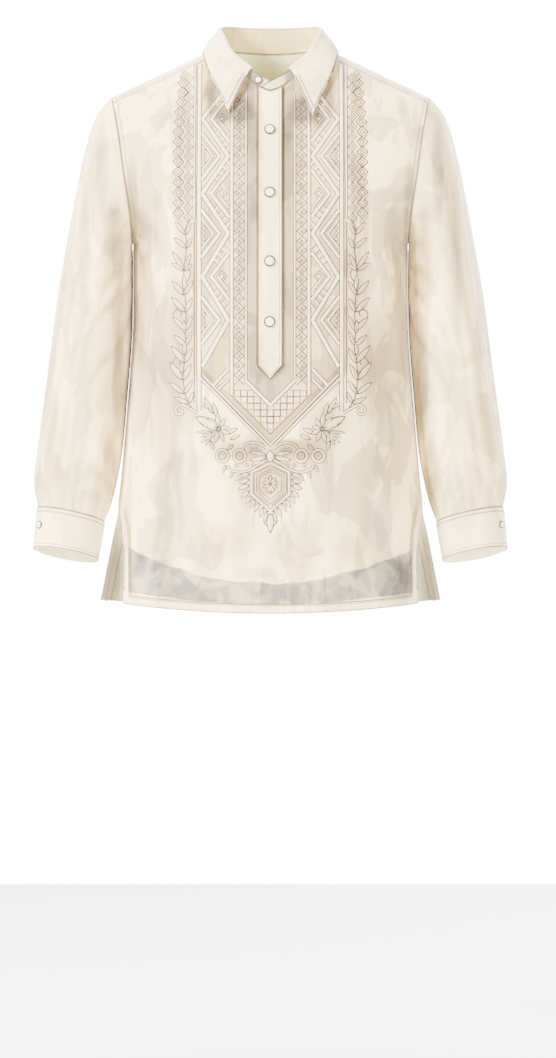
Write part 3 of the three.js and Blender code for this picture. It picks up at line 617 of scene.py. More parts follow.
def hem_shade(material):
    """A grey band above the hem, its upper edge bowed and its depth uneven."""
    tree = material.node_tree
    place = soft_node(tree, "ShaderNodeTexCoord")
    apart = soft_node(tree, "ShaderNodeSeparateXYZ")
    tree.links.new(place.outputs["Object"], apart.inputs["Vector"])
    square = soft_node(tree, "ShaderNodeMath", operation="MULTIPLY")
    tree.links.new(apart.outputs["X"], square.inputs[0])
    tree.links.new(apart.outputs["X"], square.inputs[1])
    wander = soft_node(tree, "ShaderNodeTexNoise", sockets={"Scale": 24.0, "Detail": 2.0})
    tree.links.new(place.outputs["Object"], wander.inputs["Vector"])
    masks = []
    for low, bow, unsure, facing in ((-0.7545, 1.2, 0.012, -1), (-0.7810, 0.42, 0.006, 1)):
        edge = soft_node(tree, "ShaderNodeMath", operation="MULTIPLY_ADD", sockets={1: bow, 2: low})
        tree.links.new(square.outputs[0], edge.inputs[0])
        shaken = soft_node(tree, "ShaderNodeMath", operation="MULTIPLY_ADD", sockets={1: unsure})
        tree.links.new(wander.outputs["Fac"], shaken.inputs[0])
        tree.links.new(edge.outputs[0], shaken.inputs[2])
        above = soft_node(tree, "ShaderNodeMath", operation="SUBTRACT")
        tree.links.new(apart.outputs["Z"], above.inputs[0])
        tree.links.new(shaken.outputs[0], above.inputs[1])
        mask = soft_node(tree, "ShaderNodeMapRange",
                         sockets={"From Min": -0.001 * facing, "From Max": 0.001 * facing})
        tree.links.new(above.outputs[0], mask.inputs["Value"])
        masks.append(mask)
    uneven = soft_node(tree, "ShaderNodeTexNoise", sockets={"Scale": 30.0, "Detail": 1.0, "Distortion": 1.0})
    tree.links.new(place.outputs["Object"], uneven.inputs["Vector"])
    share = soft_node(tree, "ShaderNodeMapRange",
                      sockets={"From Min": 0.42, "From Max": 0.58, "To Min": 0.75, "To Max": 1.0})
    tree.links.new(uneven.outputs["Fac"], share.inputs["Value"])
    inside = soft_node(tree, "ShaderNodeMath", operation="MULTIPLY")
    tree.links.new(masks[0].outputs["Result"], inside.inputs[0])
    tree.links.new(masks[1].outputs["Result"], inside.inputs[1])
    amount = soft_node(tree, "ShaderNodeMath", operation="MULTIPLY")
    tree.links.new(inside.outputs[0], amount.inputs[0])
    tree.links.new(share.outputs["Result"], amount.inputs[1])
    shader = tree.nodes["Principled BSDF"]
    tinted = soft_node(tree, "ShaderNodeMix", data_type="RGBA", blend_type="MULTIPLY",
                       sockets={7: (0.22, 0.26, 0.40, 1)})
    tree.links.new(amount.outputs[0], tinted.inputs[0])
    tree.links.new(shader.inputs["Base Color"].links[0].from_socket, tinted.inputs[6])
    tree.links.new(tinted.outputs[2], shader.inputs["Base Color"])


CLOTH_TONES = ((0.95, 0.725, 0.355), (0.36, 0.26, 0.125), (0.26, 0.215, 0.145))
front_material = cloth_material("front_cloth", *CLOTH_TONES)
breast_ground(front_material)
hem_shade(front_material)
sheer_cloth = cloth_material("sheer_cloth", *CLOTH_TONES, patchy=0.7)
# Every inner face takes a khaki tone, painted for the shade inside the garment
inner_shade_cloth = cloth_material("inner_shade_cloth", (0.97, 0.90, 0.50), (0.60, 0.54, 0.32), (0.50, 0.48, 0.36),
                             patchy=0.6)

lower_parts = span(88)
rows = [lower_row("front", part) for part in lower_parts]
edge_x, edge_top = front_top(1)
for part in armhole_rows(48, edge_top):
    row = []
    for place in PLACES:
        top_x, top_z = front_top(place)
        across = across_at(place)
        edge_z = mix(UNDERARM, edge_top, part)
        bow = half_width("front", edge_z) - mix(half_width("front", UNDERARM), edge_x, part)
        level = mix(across * half_width("front", UNDERARM), top_x, part)
        row.append(body_point("front", level + bow * across ** 7, mix(UNDERARM, top_z, part))[0])
    rows.append(row)
front_cloth = make_cloth("front_cloth", rows, PANEL_WALL, lambda point: Vector((0, -1, 0)),
                         (front_material, inner_shade_cloth), parted=COLUMNS // 2, wash=front_wash)

rows = [lower_row("back", part) for part in lower_parts]
for part in armhole_rows(36, YOKE_BACK - SEAM):
    z = mix(UNDERARM, YOKE_BACK - SEAM, part)
    rows.append([body_point("back", across_at(place) * half_width("back", z), z)[0] for place in PLACES])
back_cloth = make_cloth("back_cloth", rows, PANEL_WALL, lambda point: Vector((0, 1, 0)),
                        (sheer_cloth, inner_shade_cloth), wash=back_wash)

for piece, node in [(front_cloth, "front"), (back_cloth, "back")]:
    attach(piece, "root")
    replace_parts(piece, node)


# Yoke: one piece of the same cloth over both shoulders, its front seam just forward of the
# shoulder line and its back seam straight across
RAY_ENDS = [(64, -95), (73, -78), (82, -66), (90, -61), (96, -62), (104, -65.5), (113, -72)]


def neck_point(angle):
    """A point of the neck opening at an angle round it: 0 at the back, 90 at the left side."""
    side = "front" if math.cos(math.radians(angle)) < 0 else "back"
    x = NECK["half"] * math.sin(math.radians(angle))
    z = neck_height(side, x)
    return side, x, z, body_point(side, x, z)[0]


def yoke_ray(turn):
    """A ray of the yoke from the neck outward: its side, start and end in the front view."""
    if abs(turn) < 64:
        end_x, end_z, side = across_at(turn / 64) * half_width("back", YOKE_BACK), YOKE_BACK, "back"
    else:
        end_z = read_table(RAY_ENDS, abs(turn))
        side = "front" if abs(turn) > 90 else "back"
        end_x = math.copysign(half_width(side, end_z), turn)
    _, x, z, _ = neck_point(turn)
    return side, (x, z), (end_x, end_z)


half_turns = [part * 64 for part in span(36)[:-1]] + [64 + (113 - 64) * part for part in span(30)]
rows = []
for turn in [-turn for turn in half_turns[:0:-1]] + half_turns:
    side, start, end = yoke_ray(turn)
    row = []
    for step in span(16):
        part = math.sin(step * math.pi / 2)
        row.append(body_point(side, mix(start[0], end[0], part), mix(start[1], end[1], part))[0])
    rows.append(row)
yoke_cloth = make_cloth("yoke_cloth", rows, PANEL_WALL, lambda point: Vector((0, 0, 1)),
                        (sheer_cloth, inner_shade_cloth))
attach(yoke_cloth, "root")
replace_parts(yoke_cloth, "yoke")


# Sleeves: set in at the armholes, full and softly folded, and gathered at the wrist in tucks.
# Rows run along the sleeve: outer edge, inner edge, half depth, middle's place, tip.
SLEEVE = [
    (0, 226, -61, 196, -270, 80, 0, 0), (0.09, 247, -87, 196.4, -281, 79, 0, 0),
    (0.18, 260, -124, 196.3, -293, 76, 0, 0), (0.3, 273, -180, 195.8, -314, 72, 0, 0),
    (0.42, 287, -255, 195.7, -352, 69, -1, 0), (0.54, 302, -340, 197.8, -415, 65, -3, 0.03),
    (0.68, 315, -440, 203.8, -492, 59, -8, 0.08), (0.82, 328, -540, 212, -576, 52, -15, 0.14),
    (0.92, 335, -606, 223, -630, 46, -20, 0.18), (1, 329, -642.5, 235, -662.5, 34, -22, 0.19),
]
# The largest folds: angle round the sleeve (0 outside, 90 front), from, to, spread, out
SLEEVE_FOLDS = [
    (62, 0.02, 0.62, 15, -6), (112, 0.04, 0.5, 14, -5), (28, 0.3, 0.98, 13, -4.5), (88, 0.5, 0.98, 14, -4),
    (140, 0.55, 1, 14, -4), (238, 0.02, 0.6, 16, -6), (292, 0.04, 0.7, 16, -5), (330, 0.5, 1, 13, -4.5),
    (262, 0.55, 1, 14, -4),
]
# Smaller creases: start and end as angle and place along, spread in degrees, and out
SLEEVE_CREASES = [
    (128, 0.02, 96, 0.30, 6, -2.0), (150, 0.05, 118, 0.36, 6, -2.2), (76, 0.03, 70, 0.34, 5, 1.5),
    (44, 0.05, 50, 0.44, 6, -1.8), (160, 0.22, 100, 0.52, 7, -2.4), (164, 0.30, 84, 0.64, 6, -2.0),
    (168, 0.42, 96, 0.74, 6, -2.2), (100, 0.40, 62, 0.86, 6, 1.5), (56, 0.40, 46, 0.95, 6, -2.0),
    (74, 0.55, 70, 0.99, 5, -1.9), (104, 0.66, 100, 1.0, 5, -1.8), (122, 0.70, 124, 1.0, 5, 1.6),
    (14, 0.45, 12, 0.97, 7, -1.8), (40, 0.62, 34, 1.0, 5, 1.7), (156, 0.66, 160, 1.0, 6, -1.8),
    (34, 0.90, 36, 1.0, 4, -2.4), (52, 0.91, 54, 1.0, 4, -2.2), (68, 0.92, 68, 1.0, 4, 1.6),
    (86, 0.92, 84, 1.0, 4, -1.8), (112, 0.92, 110, 1.0, 4, -1.6), (136, 0.91, 138, 1.0, 5, -1.7),
    (226, 0.03, 250, 0.32, 6, -2.1), (212, 0.08, 240, 0.42, 6, -2.0), (276, 0.03, 272, 0.40, 6, 1.4),
    (310, 0.05, 306, 0.50, 6, -1.9), (204, 0.30, 262, 0.60, 7, -2.2), (200, 0.44, 258, 0.78, 6, -2.0),
    (250, 0.52, 284, 0.92, 6, 1.5), (306, 0.44, 312, 0.96, 6, -1.9), (286, 0.64, 288, 1.0, 5, -1.8),
    (240, 0.70, 238, 1.0, 5, -1.8), (220, 0.80, 222, 1.0, 5, 1.5), (320, 0.90, 322, 1.0, 4, -2.0),
    (300, 0.91, 300, 1.0, 4, 1.5), (262, 0.92, 262, 1.0, 4, -1.8), (206, 0.90, 204, 1.0, 5, -1.6),
    (348, 0.55, 346, 0.98, 6, -1.6), (24, 0.03, 22, 0.30, 7, -1.3), (336, 0.04, 330, 0.34, 7, -1.4),
]


def read_section(table, at):
    values = [read_table(table, at, column) for column in range(1, 8)]
    out_x, out_z, in_x, in_z, deep, mid, tip = values
    middle = Vector(((out_x + in_x) / 2, mid, (out_z + in_z) / 2))
    return middle, Vector(((out_x - in_x) / 2, 0, (out_z - in_z) / 2)), deep, tip


def section_point(section, angle, grow=0.0):
    middle, out, deep, tip = section
    turn = math.radians(angle)
    forward = math.sin(turn) * (deep + grow)
    return middle + out * (math.cos(turn) * (1 + grow / out.length)) + Vector((0, -forward, forward * tip))


def turned_between(angle, other):
    return (angle - other + 180) % 360 - 180


def sleeve_fold(angle, at):
    height = 0
    for place, start, end, wide, out in SLEEVE_FOLDS:
        along = (at - start) / (end - start)
        if 0 < along < 1:
            away = turned_between(angle, place) / wide
            height += out * math.exp(-away * away) * math.sin(math.pi * along) ** 0.8
    for from_angle, start, to_angle, end, wide, out in SLEEVE_CREASES:
        along = (at - start) / (end - start)
        if 0 < along <= 1:
            place = mix(from_angle, to_angle, ease(along))
            away = turned_between(angle, place) / wide
            if abs(away) < 3:
                rise = math.sin(math.pi * along) if end < 0.995 else math.sin(math.pi / 2 * along)
                height += CREASE_OUT * out * math.exp(-away * away) * rise ** 0.7
    return height * (1 - ease((at - 0.975) / 0.025) * 0.6)


# How far the sleeve stays off the body's side, clear of the ridge of its seam
SIDE_RIDGE = 0.75
# How many degrees the right sleeve's folds lie round from the left one's
RIGHT_SLEEVE_TURN = 2.5


def sleeve_point(sign, at, angle, lift=0.0):
    """A point of the sleeve, whose inner side settles against the body's side seam."""
    section = read_section(SLEEVE, at)
    turn = 0 if sign > 0 else RIGHT_SLEEVE_TURN
    point = section_point(section, angle, sleeve_fold(angle + turn, at) + lift)
    inner = section_point(section, 180, sleeve_fold(180 + turn, at))
    gap = inner.x - half_width("front", inner.z) - SIDE_RIDGE
    settle = math.exp(-(turned_between(angle, 180) / 24) ** 2) * ease((0.86 - at) / 0.12) * ease(at / 0.1)
    seam = section_point(read_section(SLEEVE, 0), angle)
    bow = half_width("front", min(seam.z, SHOULDER[1])) + 1 - seam.x
    point.x = sign * (point.x + bow * (1 - ease(at / 0.2)) - max(gap, 0) * settle)
    return point


# Where along and round the sleeve each of its points lies, by side and place
sleeve_places = {1: {}, -1: {}}


def sleeve_wash(sign):
    def wash(point):
        tint = wash_at(SLEEVE_WASHES, sign * point.x, point.z)
        at, angle = sleeve_places[sign][round(point.x, 3), round(point.y, 3), round(point.z, 3)]
        # Painted shade along the sleeve's inner side, where it lies against the body, and in its troughs
        share = 0.8 * math.exp(-(turned_between(angle, 180) / 13) ** 4) * ease((0.84 - at) / 0.1)
        tint = [old * mix(1, tone, share) for old, tone in zip(tint, TAN_SHADE)]
        return shaded(tint, sleeve_fold(angle, at))
    return wash


# On the sleeves, the tan ovals are painted shade along the inner side and down by the cuff.
SLEEVE_WASHES = [
    (236, -170, 9, 70, 0.55, GREY), (215, -330, 10, 110, 0.6, WARM), (214, -470, 9, 80, 0.6, TAN_SHADE),
    (262, -300, 8, 130, 0.35, GREY), (300, -560, 18, 70, 0.35, WARM), (250, -610, 22, 26, 0.4, GREY),
    (330, -620, 12, 30, 0.45, TAN_SHADE), (226, -590, 10, 50, 0.5, TAN_SHADE),
]

SLEEVE_TURNS = 120
SLEEVE_MIDDLE_X = 245
for word, sign in [("left", 1), ("right", -1)]:
    rows = []
    for step in span(128):
        at = step ** 1.1
        row = [sleeve_point(sign, at, turn * 360) for turn in span(SLEEVE_TURNS)[:-1]]
        for turn, point in zip(span(SLEEVE_TURNS), row):
            key = (round(point.x, 3), round(point.y, 3), round(point.z, 3))
            sleeve_places[sign][key] = (at, turn * 360 + (0 if sign > 0 else RIGHT_SLEEVE_TURN))
        rows.append(row)
    sleeve = make_cloth(f"sleeve_{word}_cloth", rows, PANEL_WALL,
                        lambda point: Vector((point.x - sign * SLEEVE_MIDDLE_X, point.y, 0)),
                        (sheer_cloth, inner_shade_cloth), closed=True, wash=sleeve_wash(sign))
    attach(sleeve, "root")
    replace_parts(sleeve, f"sleeve_{word}")


# Cuffs: a doubled band of firmer cloth round each wrist, its end lapped over outside. The two
# rows are its upper and lower edges, given in the same way as the sleeve's rows.
CUFF = [(0, 330.5, -643.5, 234, -663.7, 35.5, -22, 0.19), (1, 336, -701, 243, -718, 34.5, -24, 0.22)]
CUFF_LAP = 24
CUFF_MIDDLE_X, CUFF_MIDDLE_Y = 287, -23
BAND = 2
cuff_cloth = cloth_material("cuff_cloth", (0.96, 0.76, 0.41), (0.42, 0.31, 0.16), (0.30, 0.25, 0.175),
                            patchy=0.6)


def cuff_point(sign, at, travelled, grow=0.0):
    section = read_section(CUFF, at)
    under = (BAND + SEAM) * (1 - ease((travelled - 2 * CUFF_LAP) / 34))
    point = section_point(section, CUFF_LAP - travelled, grow - under)
    point.x *= sign
    return point


for word, sign in [("left", 1), ("right", -1)]:
    rows = []
    for at in span(14):
        swell = 0.5 * math.sin(math.pi * at) - 0.25
        rows.append([cuff_point(sign, at, part * (360 + 2 * CUFF_LAP), swell) for part in span(150)])
    cuff = make_cloth(f"cuff_{word}_cloth", rows, BAND,
                      lambda point: Vector((point.x - sign * CUFF_MIDDLE_X, point.y - CUFF_MIDDLE_Y, 0)),
                      (cuff_cloth, inner_shade_cloth))
    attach(cuff, "root")
    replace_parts(cuff, f"cuff_{word}")


# Collar: a firm stand round the neck, and a pointed leaf that rolls over it and falls clear.
# The left front end of the stand laps over the right one and buttons there.
FOLD_LINE = [
    (0, 42), (60, 41.5), (90, 35), (110, 25), (130, 0), (150, -18), (165, -32), (180, -43), (190, -52),
]
FOLD_LEAN = 0.95
STAND_ENDS = (177, 188)
LAP_FROM, LAP_OUT, END_LIFT = 160, 2.6, 1.2
LEAF_EDGE = [
    (0, 0, -6), (30, 44, -6), (60, 79, -3.5), (78, 90, 0), (90, 94, 1), (105, 93, -9), (125, 85, -35),
    (145, 71, -64), (158, 59, -90),
]
LEAF_END = 158
LEAF_CLEAR, LEFT_DROP = 4.6, 4
collar_cloth = cloth_material("collar_cloth", (0.90, 0.71, 0.40), (0.42, 0.32, 0.18), (0.32, 0.27, 0.20),
                              patchy=0.6)


def collar_base(angle):
    _, x, _, point = neck_point(angle)
    lap = LAP_OUT * ease((angle - LAP_FROM) / (180 - LAP_FROM))
    lift = SEAM + END_LIFT * ease((abs(angle) - LAP_FROM) / (180 - LAP_FROM))
    return Vector((x, point.y - lap, point.z + lift))


def collar_fold(angle):
    base = collar_base(angle)
    z = read_table(FOLD_LINE, abs(angle))
    lean = mix(FOLD_LEAN, 1, ease((angle - 170) / 15)) if angle > 170 else FOLD_LEAN
    return Vector((base.x * FOLD_LEAN, base.y * lean, max(z, base.z + 2)))


def collar_turns(right, left, count):
    return [mix(-right, left, part) for part in span(count)]


def leaf_edge(angle):
    turn = abs(angle)
    drop = LEFT_DROP * ease((turn - 110) / (LEAF_END - 110)) if angle > 0 else 0
    x = read_table(LEAF_EDGE, turn, 1)
    z = read_table(LEAF_EDGE, turn, 2) - drop
    return body_point("front" if turn > 90 else "back", math.copysign(x, angle), z, LEAF_CLEAR)[0]


def leaf_column(angle, count=14):
    """A line over the leaf at one angle, from the fold's crest down to its edge."""
    top = BAND + 2 * SEAM
    fold = collar_fold(angle)
    along = (collar_fold(angle + 3) - collar_fold(angle - 3)).normalized()
    up = fold - collar_base(angle)
    up = (up - along * up.dot(along)).normalized()
    out = up.cross(along)
    edge = leaf_edge(angle)
    fall = fold + out * (top * 1.5) - up * 4
    column = [fold - out * 1.2 + up * top, fold - out * 0.1 + up * (top * 0.98),
              fold + out * (top * 0.85) + up * (top * 0.55), fold + out * (top * 1.3) - up * 1, fall]
    for part in span(count)[1:]:
        column.append(fall.lerp(edge, part) + out * (2.2 * math.sin(math.pi * part)))
    return column


def stand_shade(point):
    """Painted shade on the stand where the leaves hang over it, at each side of the buttoned ends, and
    faintly all along its front.
    """
    in_front = ease((-40 - point.y) / 20)
    shade = in_front * (ease((abs(point.x - 4) - 9) / 12) * 0.85 + 0.1)
    return [mix(1, tone, shade) for tone in SHADE]


# The collar's inner face, darker: painted shade under the leaf and inside the stand
collar_inside_shade = cloth_material("collar_inside_shade", (0.72, 0.53, 0.20), (0.40, 0.29, 0.12), (0.34, 0.27, 0.15),
                               patchy=0.6)
rows = [[collar_base(angle).lerp(collar_fold(angle), part) for part in span(8)]
        for angle in collar_turns(*STAND_ENDS, 150)]
collar_faces = (collar_cloth, collar_inside_shade)
stand = make_cloth("collar_stand_cloth", rows, BAND, lambda point: Vector((point.x, point.y, 0)),
                   collar_faces, wash=stand_shade)
rows = [leaf_column(angle) for angle in collar_turns(LEAF_END, LEAF_END, 150)]
leaf = make_cloth("collar_leaf_cloth", rows, BAND, lambda point: Vector((point.x, point.y, 30)), collar_faces)
for piece, node, flat in [(stand, "collar_stand", (0.42, 0.034)), (leaf, "collar_leaf", (0.45, 0.065))]:
    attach(piece, "root")
    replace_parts(piece, node)


# Placket: the pointed top band of the centre opening, sewn down its left side and lying over
# the slit that parts the front panel
PLACKET_SIDES = (-17.5, 16.5)
PLACKET_BOTTOM, PLACKET_POINT, PLACKET_LIFT = -444.5, 20, 0.6
placket_cloth = cloth_material("placket_cloth", (0.94, 0.74, 0.38), (0.42, 0.31, 0.15), (0.32, 0.26, 0.18),
                               patchy=0.6)


def placket_point(across, up, lift=0.0):
    x = mix(*PLACKET_SIDES, across)
    middle = sum(PLACKET_SIDES) / 2
    half = (PLACKET_SIDES[1] - PLACKET_SIDES[0]) / 2
    bottom = PLACKET_BOTTOM - PLACKET_POINT * (1 - abs(x - middle) / half)
    z = mix(bottom, neck_height("front", x) - 1.4, up)
    return body_point("front", x, z, PLACKET_LIFT + BAND + lift)


rows = [[placket_point(across, up ** 0.9)[0] for across in span(16)] for up in span(110)]
placket = make_cloth("placket_cloth", rows, BAND, lambda point: Vector((0, -1, 0)),
                     (placket_cloth, inner_shade_cloth))
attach(placket, "root")
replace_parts(placket, "placket")


# Embroidered breast panel: satin bars, leaves and lattices in pale thread, each outlined in a
# thin tan thread and sewn through the front. One half is charted, and the other mirrors it.
cloth_face = BVHTree.FromObject(front_cloth, bpy.context.evaluated_depsgraph_get())


def on_front(x, z, lift):
    """The place on the front cloth straight behind a point of the front view."""
    point, normal, _, _ = cloth_face.ray_cast(Vector((x * 0.001, -1, z * 0.001)), Vector((0, 1, 0)))
    return (point + normal * lift * 0.001) if point else None


def smooth_line(points, step=2.6, closed=False):
    """A curve through points in the front view, resampled evenly."""
    count = len(points)
    line = []
    for index in range(count if closed else count - 1):
        pick = (lambda k: points[k % count]) if closed else (lambda k: points[min(max(k, 0), count - 1)])
        before, start, end, after = (Vector(pick(index + k)) for k in (-1, 0, 1, 2))
        pieces = max(1, round((end - start).length / step))
        for part in [number / pieces for number in range(pieces)]:
            bend = (before * (-part + 2 * part ** 2 - part ** 3) + start * (2 - 5 * part ** 2 + 3 * part ** 3)
                    + end * (part + 4 * part ** 2 - 3 * part ** 3) + after * (part ** 3 - part ** 2)) / 2
            line.append(bend)
    if not closed:
        line.append(Vector(points[-1]))
    return line


def straight_line(points, step=4.0):
    line = []
    for start, end in zip(points, points[1:]):
        start, end = Vector(start), Vector(end)
        pieces = max(1, round((end - start).length / step))
        line += [start.lerp(end, number / pieces) for number in range(pieces)]
    return line + [Vector(points[-1])]


def ridge_profile(height):
    """The five points across a thread's rounded top: how far out, and how high."""
    return (-1, 0.02), (-0.62, height * 0.85), (0, height), (0.62, height * 0.85), (1, 0.02)


class Needlework:
    """Strokes sewn on the front, gathered into one mesh with a UV map along each stroke."""

    def __init__(self):
        self.points, self.faces, self.uvs = [], [], []

    def stroke(self, line, width, height, closed=False, taper=0.0):
        """A low rounded ridge along a line, half of it to each side."""
        rings = []
        length = 0.0
        for index, point in enumerate(line):
            ahead = line[(index + 1) % len(line)] if closed or index + 1 < len(line) else point
            behind = line[index - 1] if closed or index else point
            way = (ahead - behind).normalized() if (ahead - behind).length else Vector((1, 0))
            side = Vector((-way.y, way.x))
            turn = 1.0
            if behind != point and ahead != point:
                before = (point - behind).normalized()
                turn = 1 / max(0.6, abs(before.dot(way)))
            share = index / (len(line) - 1) if len(line) > 1 else 0
            half = width / 2 * turn * (1 - taper * abs(2 * share - 1) ** 2)
            ring = []
            for out, lift in ridge_profile(height):
                spot = point + side * (half * out)
                place = on_front(spot.x, spot.y, lift)
                if place is None:
                    return
                ring.append(place)
            length += (point - behind).length
            rings.append((ring, length))
        self.sew(rings, width, closed)

    def thread(self, path, width, height):
        """The same ridge along points in space, each given with the surface's normal."""
        rings = []
        length = 0.0
        for index, (point, normal) in enumerate(path):
            ahead, behind = path[min(index + 1, len(path) - 1)][0], path[max(index - 1, 0)][0]
            way = (ahead - behind).normalized()
            side = normal.cross(way).normalized()
            ring = []
            for out, lift in ridge_profile(height):
                ring.append((point + side * (out * width / 2) + normal * lift) * 0.001)
            length += (point - behind).length if index else 0
            rings.append((ring, length))
        self.sew(rings, width, False)

    def sew(self, rings, width, closed):
        base = len(self.points)
        for ring, _ in rings:
            self.points += ring
        count = len(rings)
        for index in range(count if closed else count - 1):
            after = (index + 1) % count
            for edge in range(5):
                beside = (edge + 1) % 5
                self.faces.append([base + index * 5 + edge, base + after * 5 + edge,
                                   base + after * 5 + beside, base + index * 5 + beside])
                near, far = rings[index][1] * 0.001, rings[after][1] * 0.001
                across = (edge * 0.25 * width * 0.001, beside * 0.25 * width * 0.001)
                self.uvs += [(near, across[0]), (far, across[0]), (far, across[1]), (near, across[1])]
        if not closed:
            for index, order in ((0, (0, 1, 2, 3, 4)), (count - 1, (4, 3, 2, 1, 0))):
                self.faces.append([base + index * 5 + edge for edge in order])
                self.uvs += [(rings[index][1] * 0.001, edge * 0.0002) for edge in order]

    def finish(self, name, material, wash=None):
        mesh = bpy.data.meshes.new(name)
        mesh.from_pydata(self.points, [], self.faces)
        uv = mesh.uv_layers.new(name="cloth")
        for loop, place in zip(uv.data, self.uvs):
            loop.uv = place
        paint = mesh.color_attributes.new("wash", "FLOAT_COLOR", "POINT")
        for spot, point in zip(paint.data, self.points):
            spot.color = (*(wash(point * 1000) if wash else (1, 1, 1)), 1)
        piece = bpy.data.objects.new(name, mesh)
        bpy.context.collection.objects.link(piece)
        select_only(piece)
        bpy.ops.object.mode_set(mode="EDIT")
        bpy.ops.mesh.select_all(action="SELECT")
        bpy.ops.mesh.normals_make_consistent(inside=False)
        bpy.ops.object.mode_set(mode="OBJECT")
        bpy.ops.object.shade_smooth_by_angle(angle=math.radians(60))
        piece.data.materials.append(material)
        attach(piece, "root")
        return piece


satin_work, outline_work, fine_work = Needlework(), Needlework(), Needlework()
OUTLINE = 1.75


def mirrored(points):
    return [points, [(-x, z) for x, z in points]]


def bar(points, width, curved=False):
    """A satin bar between two outlines, on both halves."""
    for half in mirrored(points):
        line = smooth_line(half) if curved else straight_line(half)
        satin_work.stroke(line, width, 0.75)
        for side in (-1, 1):
            edge = []
            for index, point in enumerate(line):
                way = line[min(index + 1, len(line) - 1)] - line[max(index - 1, 0)]
                edge.append(point + Vector((-way.y, way.x)).normalized() * side * (width / 2 + 0.3))
            outline_work.stroke(edge, OUTLINE, 0.4)


def outline(points, curved=True, closed=False, width=OUTLINE):
    for half in mirrored(points):
        line = smooth_line(half, closed=closed) if curved else straight_line(half)
        outline_work.stroke(line, width, 0.4, closed=closed)


def petal(base, tip, width, split=True, both=True):
    """A leaf or petal: two pale halves side by side inside a pointed outline."""
    for from_point, to_point in zip(mirrored([base])[: 2 if both else 1], mirrored([tip])):
        base_point, tip_point = Vector(from_point[0]), Vector(to_point[0])
        way = tip_point - base_point
        side = Vector((-way.y, way.x)).normalized()
        shape = []
        for part in (0, 0.18, 0.42, 0.68, 0.88, 1):
            shape.append((part, width / 2 * math.sin(math.pi * part ** 0.85) ** 0.8))
        left = [base_point + way * part + side * wide for part, wide in shape]
        right = [base_point + way * part - side * wide for part, wide in shape[-2:0:-1]]
        outline_work.stroke(smooth_line([tuple(point) for point in left + right], 2.0, closed=True),
                            OUTLINE * 0.9, 0.4, closed=True)
        inner = [base_point + way * part for part in (0.1, 0.3, 0.5, 0.7, 0.9)]
        satin_work.stroke(inner, width * 0.78, 0.7, taper=0.75)
        if split and way.length > 9:
            fine_work.stroke([base_point + way * part for part in (0.05, 0.35, 0.7)], 0.95, 0.95)


def ring(centre, radius, width, both=True):
    turns = [part * 2 * math.pi for part in span(18)[:-1]]
    for point in mirrored([centre])[: 2 if both else 1]:
        x, z = point[0]
        circle = [(x + radius * math.cos(turn), z + radius * math.sin(turn)) for turn in turns]
        satin_work.stroke(smooth_line(circle, 2.2, closed=True), width, 0.75, closed=True)
        for edge in (radius - width / 2 - 0.2, radius + width / 2 + 0.2):
            circle = [(x + edge * math.cos(turn), z + edge * math.sin(turn)) for turn in turns]
            outline_work.stroke(smooth_line(circle, 2.2, closed=True), OUTLINE * 0.9, 0.4, closed=True)


def diamond(centre, half_wide, half_high, width=OUTLINE, filled=False):
    x, z = centre
    corners = [(x - half_wide, z), (x, z + half_high), (x + half_wide, z), (x, z - half_high),
               (x - half_wide, z)]
    outline(corners, curved=False, width=width)
    if filled:
        for half in mirrored([(x - half_wide * 0.62, z), (x + half_wide * 0.62, z)]):
            satin_work.stroke(straight_line(half, 1.6), half_high * 1.1, 0.6, taper=0.85)


# The long vertical bars, from the yoke's seam down, and the three points in the middle
bar([(99.5, -17), (99.5, -508)], 5.0)
bar([(106.2, -20), (106.2, -240)], 2.4)
outline([(106.2, -244), (106.2, -498)], curved=False)
bar([(53.8, -44), (53.8, -486)], 4.2)
bar([(34.0, -60), (34.0, -466)], 2.2)
bar([(34.5, -466), (0.4, -500)], 4.0)
outline([(57.0, -484), (0, -541)], curved=False, width=1.8)
bar([(97.0, -463), (0.6, -561)], 2.6)
bar([(94.5, -458), (1.0, -554.5)], 2.2)

# Lattice strip beside the placket's own strip: crossed threads with a small lozenge in each
LATTICE_STEP = 13.4
lattice_rows = 33
for row in range(lattice_rows):
    top = -30 - row * LATTICE_STEP
    low = top - LATTICE_STEP
    if top > -62 or low < -482:
        continue
    inside, outside = (36.6, 50.6) if row % 2 else (50.6, 36.6)
    outline([(inside, top), (outside, low)], curved=False, width=1.5)
    outline([(outside, top), (inside, low)], curved=False, width=1.1)
    diamond((43.6 + (3.6 if row % 2 else -3.6), top - 0.2), 2.3, 3.4, width=1.0, filled=True)
    diamond((43.6, top - LATTICE_STEP / 2 + 5.6), 1.5, 2.2, width=1.0, filled=True)

# Basket work inside the middle point: short pale bars laid by turns up and across
BASKET_STEP, BASKET_REACH = 9.2, 3.7
for column in range(-6, 7):
    for row in range(7):
        x, z = column * BASKET_STEP, -484 - row * BASKET_STEP
        if not (-535 + abs(x) < z < -508 + abs(x)) or x < 0:
            continue
        across = (column + row) % 2 == 0
        for offset in (-1.9, 1.9):
            run = [(x + offset, z - BASKET_REACH), (x + offset, z + BASKET_REACH)]
            if across:
                run = [(x - BASKET_REACH, z + offset), (x + BASKET_REACH, z + offset)]
            for half in mirrored(run)[: 2 if x > 0.1 else 1]:
                satin_work.stroke(straight_line(half, 2.5), 2.0, 0.6)
        edge = 4.2
        outline([(x - edge, z - edge), (x + edge, z - edge), (x + edge, z + edge), (x - edge, z + edge),
                 (x - edge, z - edge)], curved=False, width=1.1)

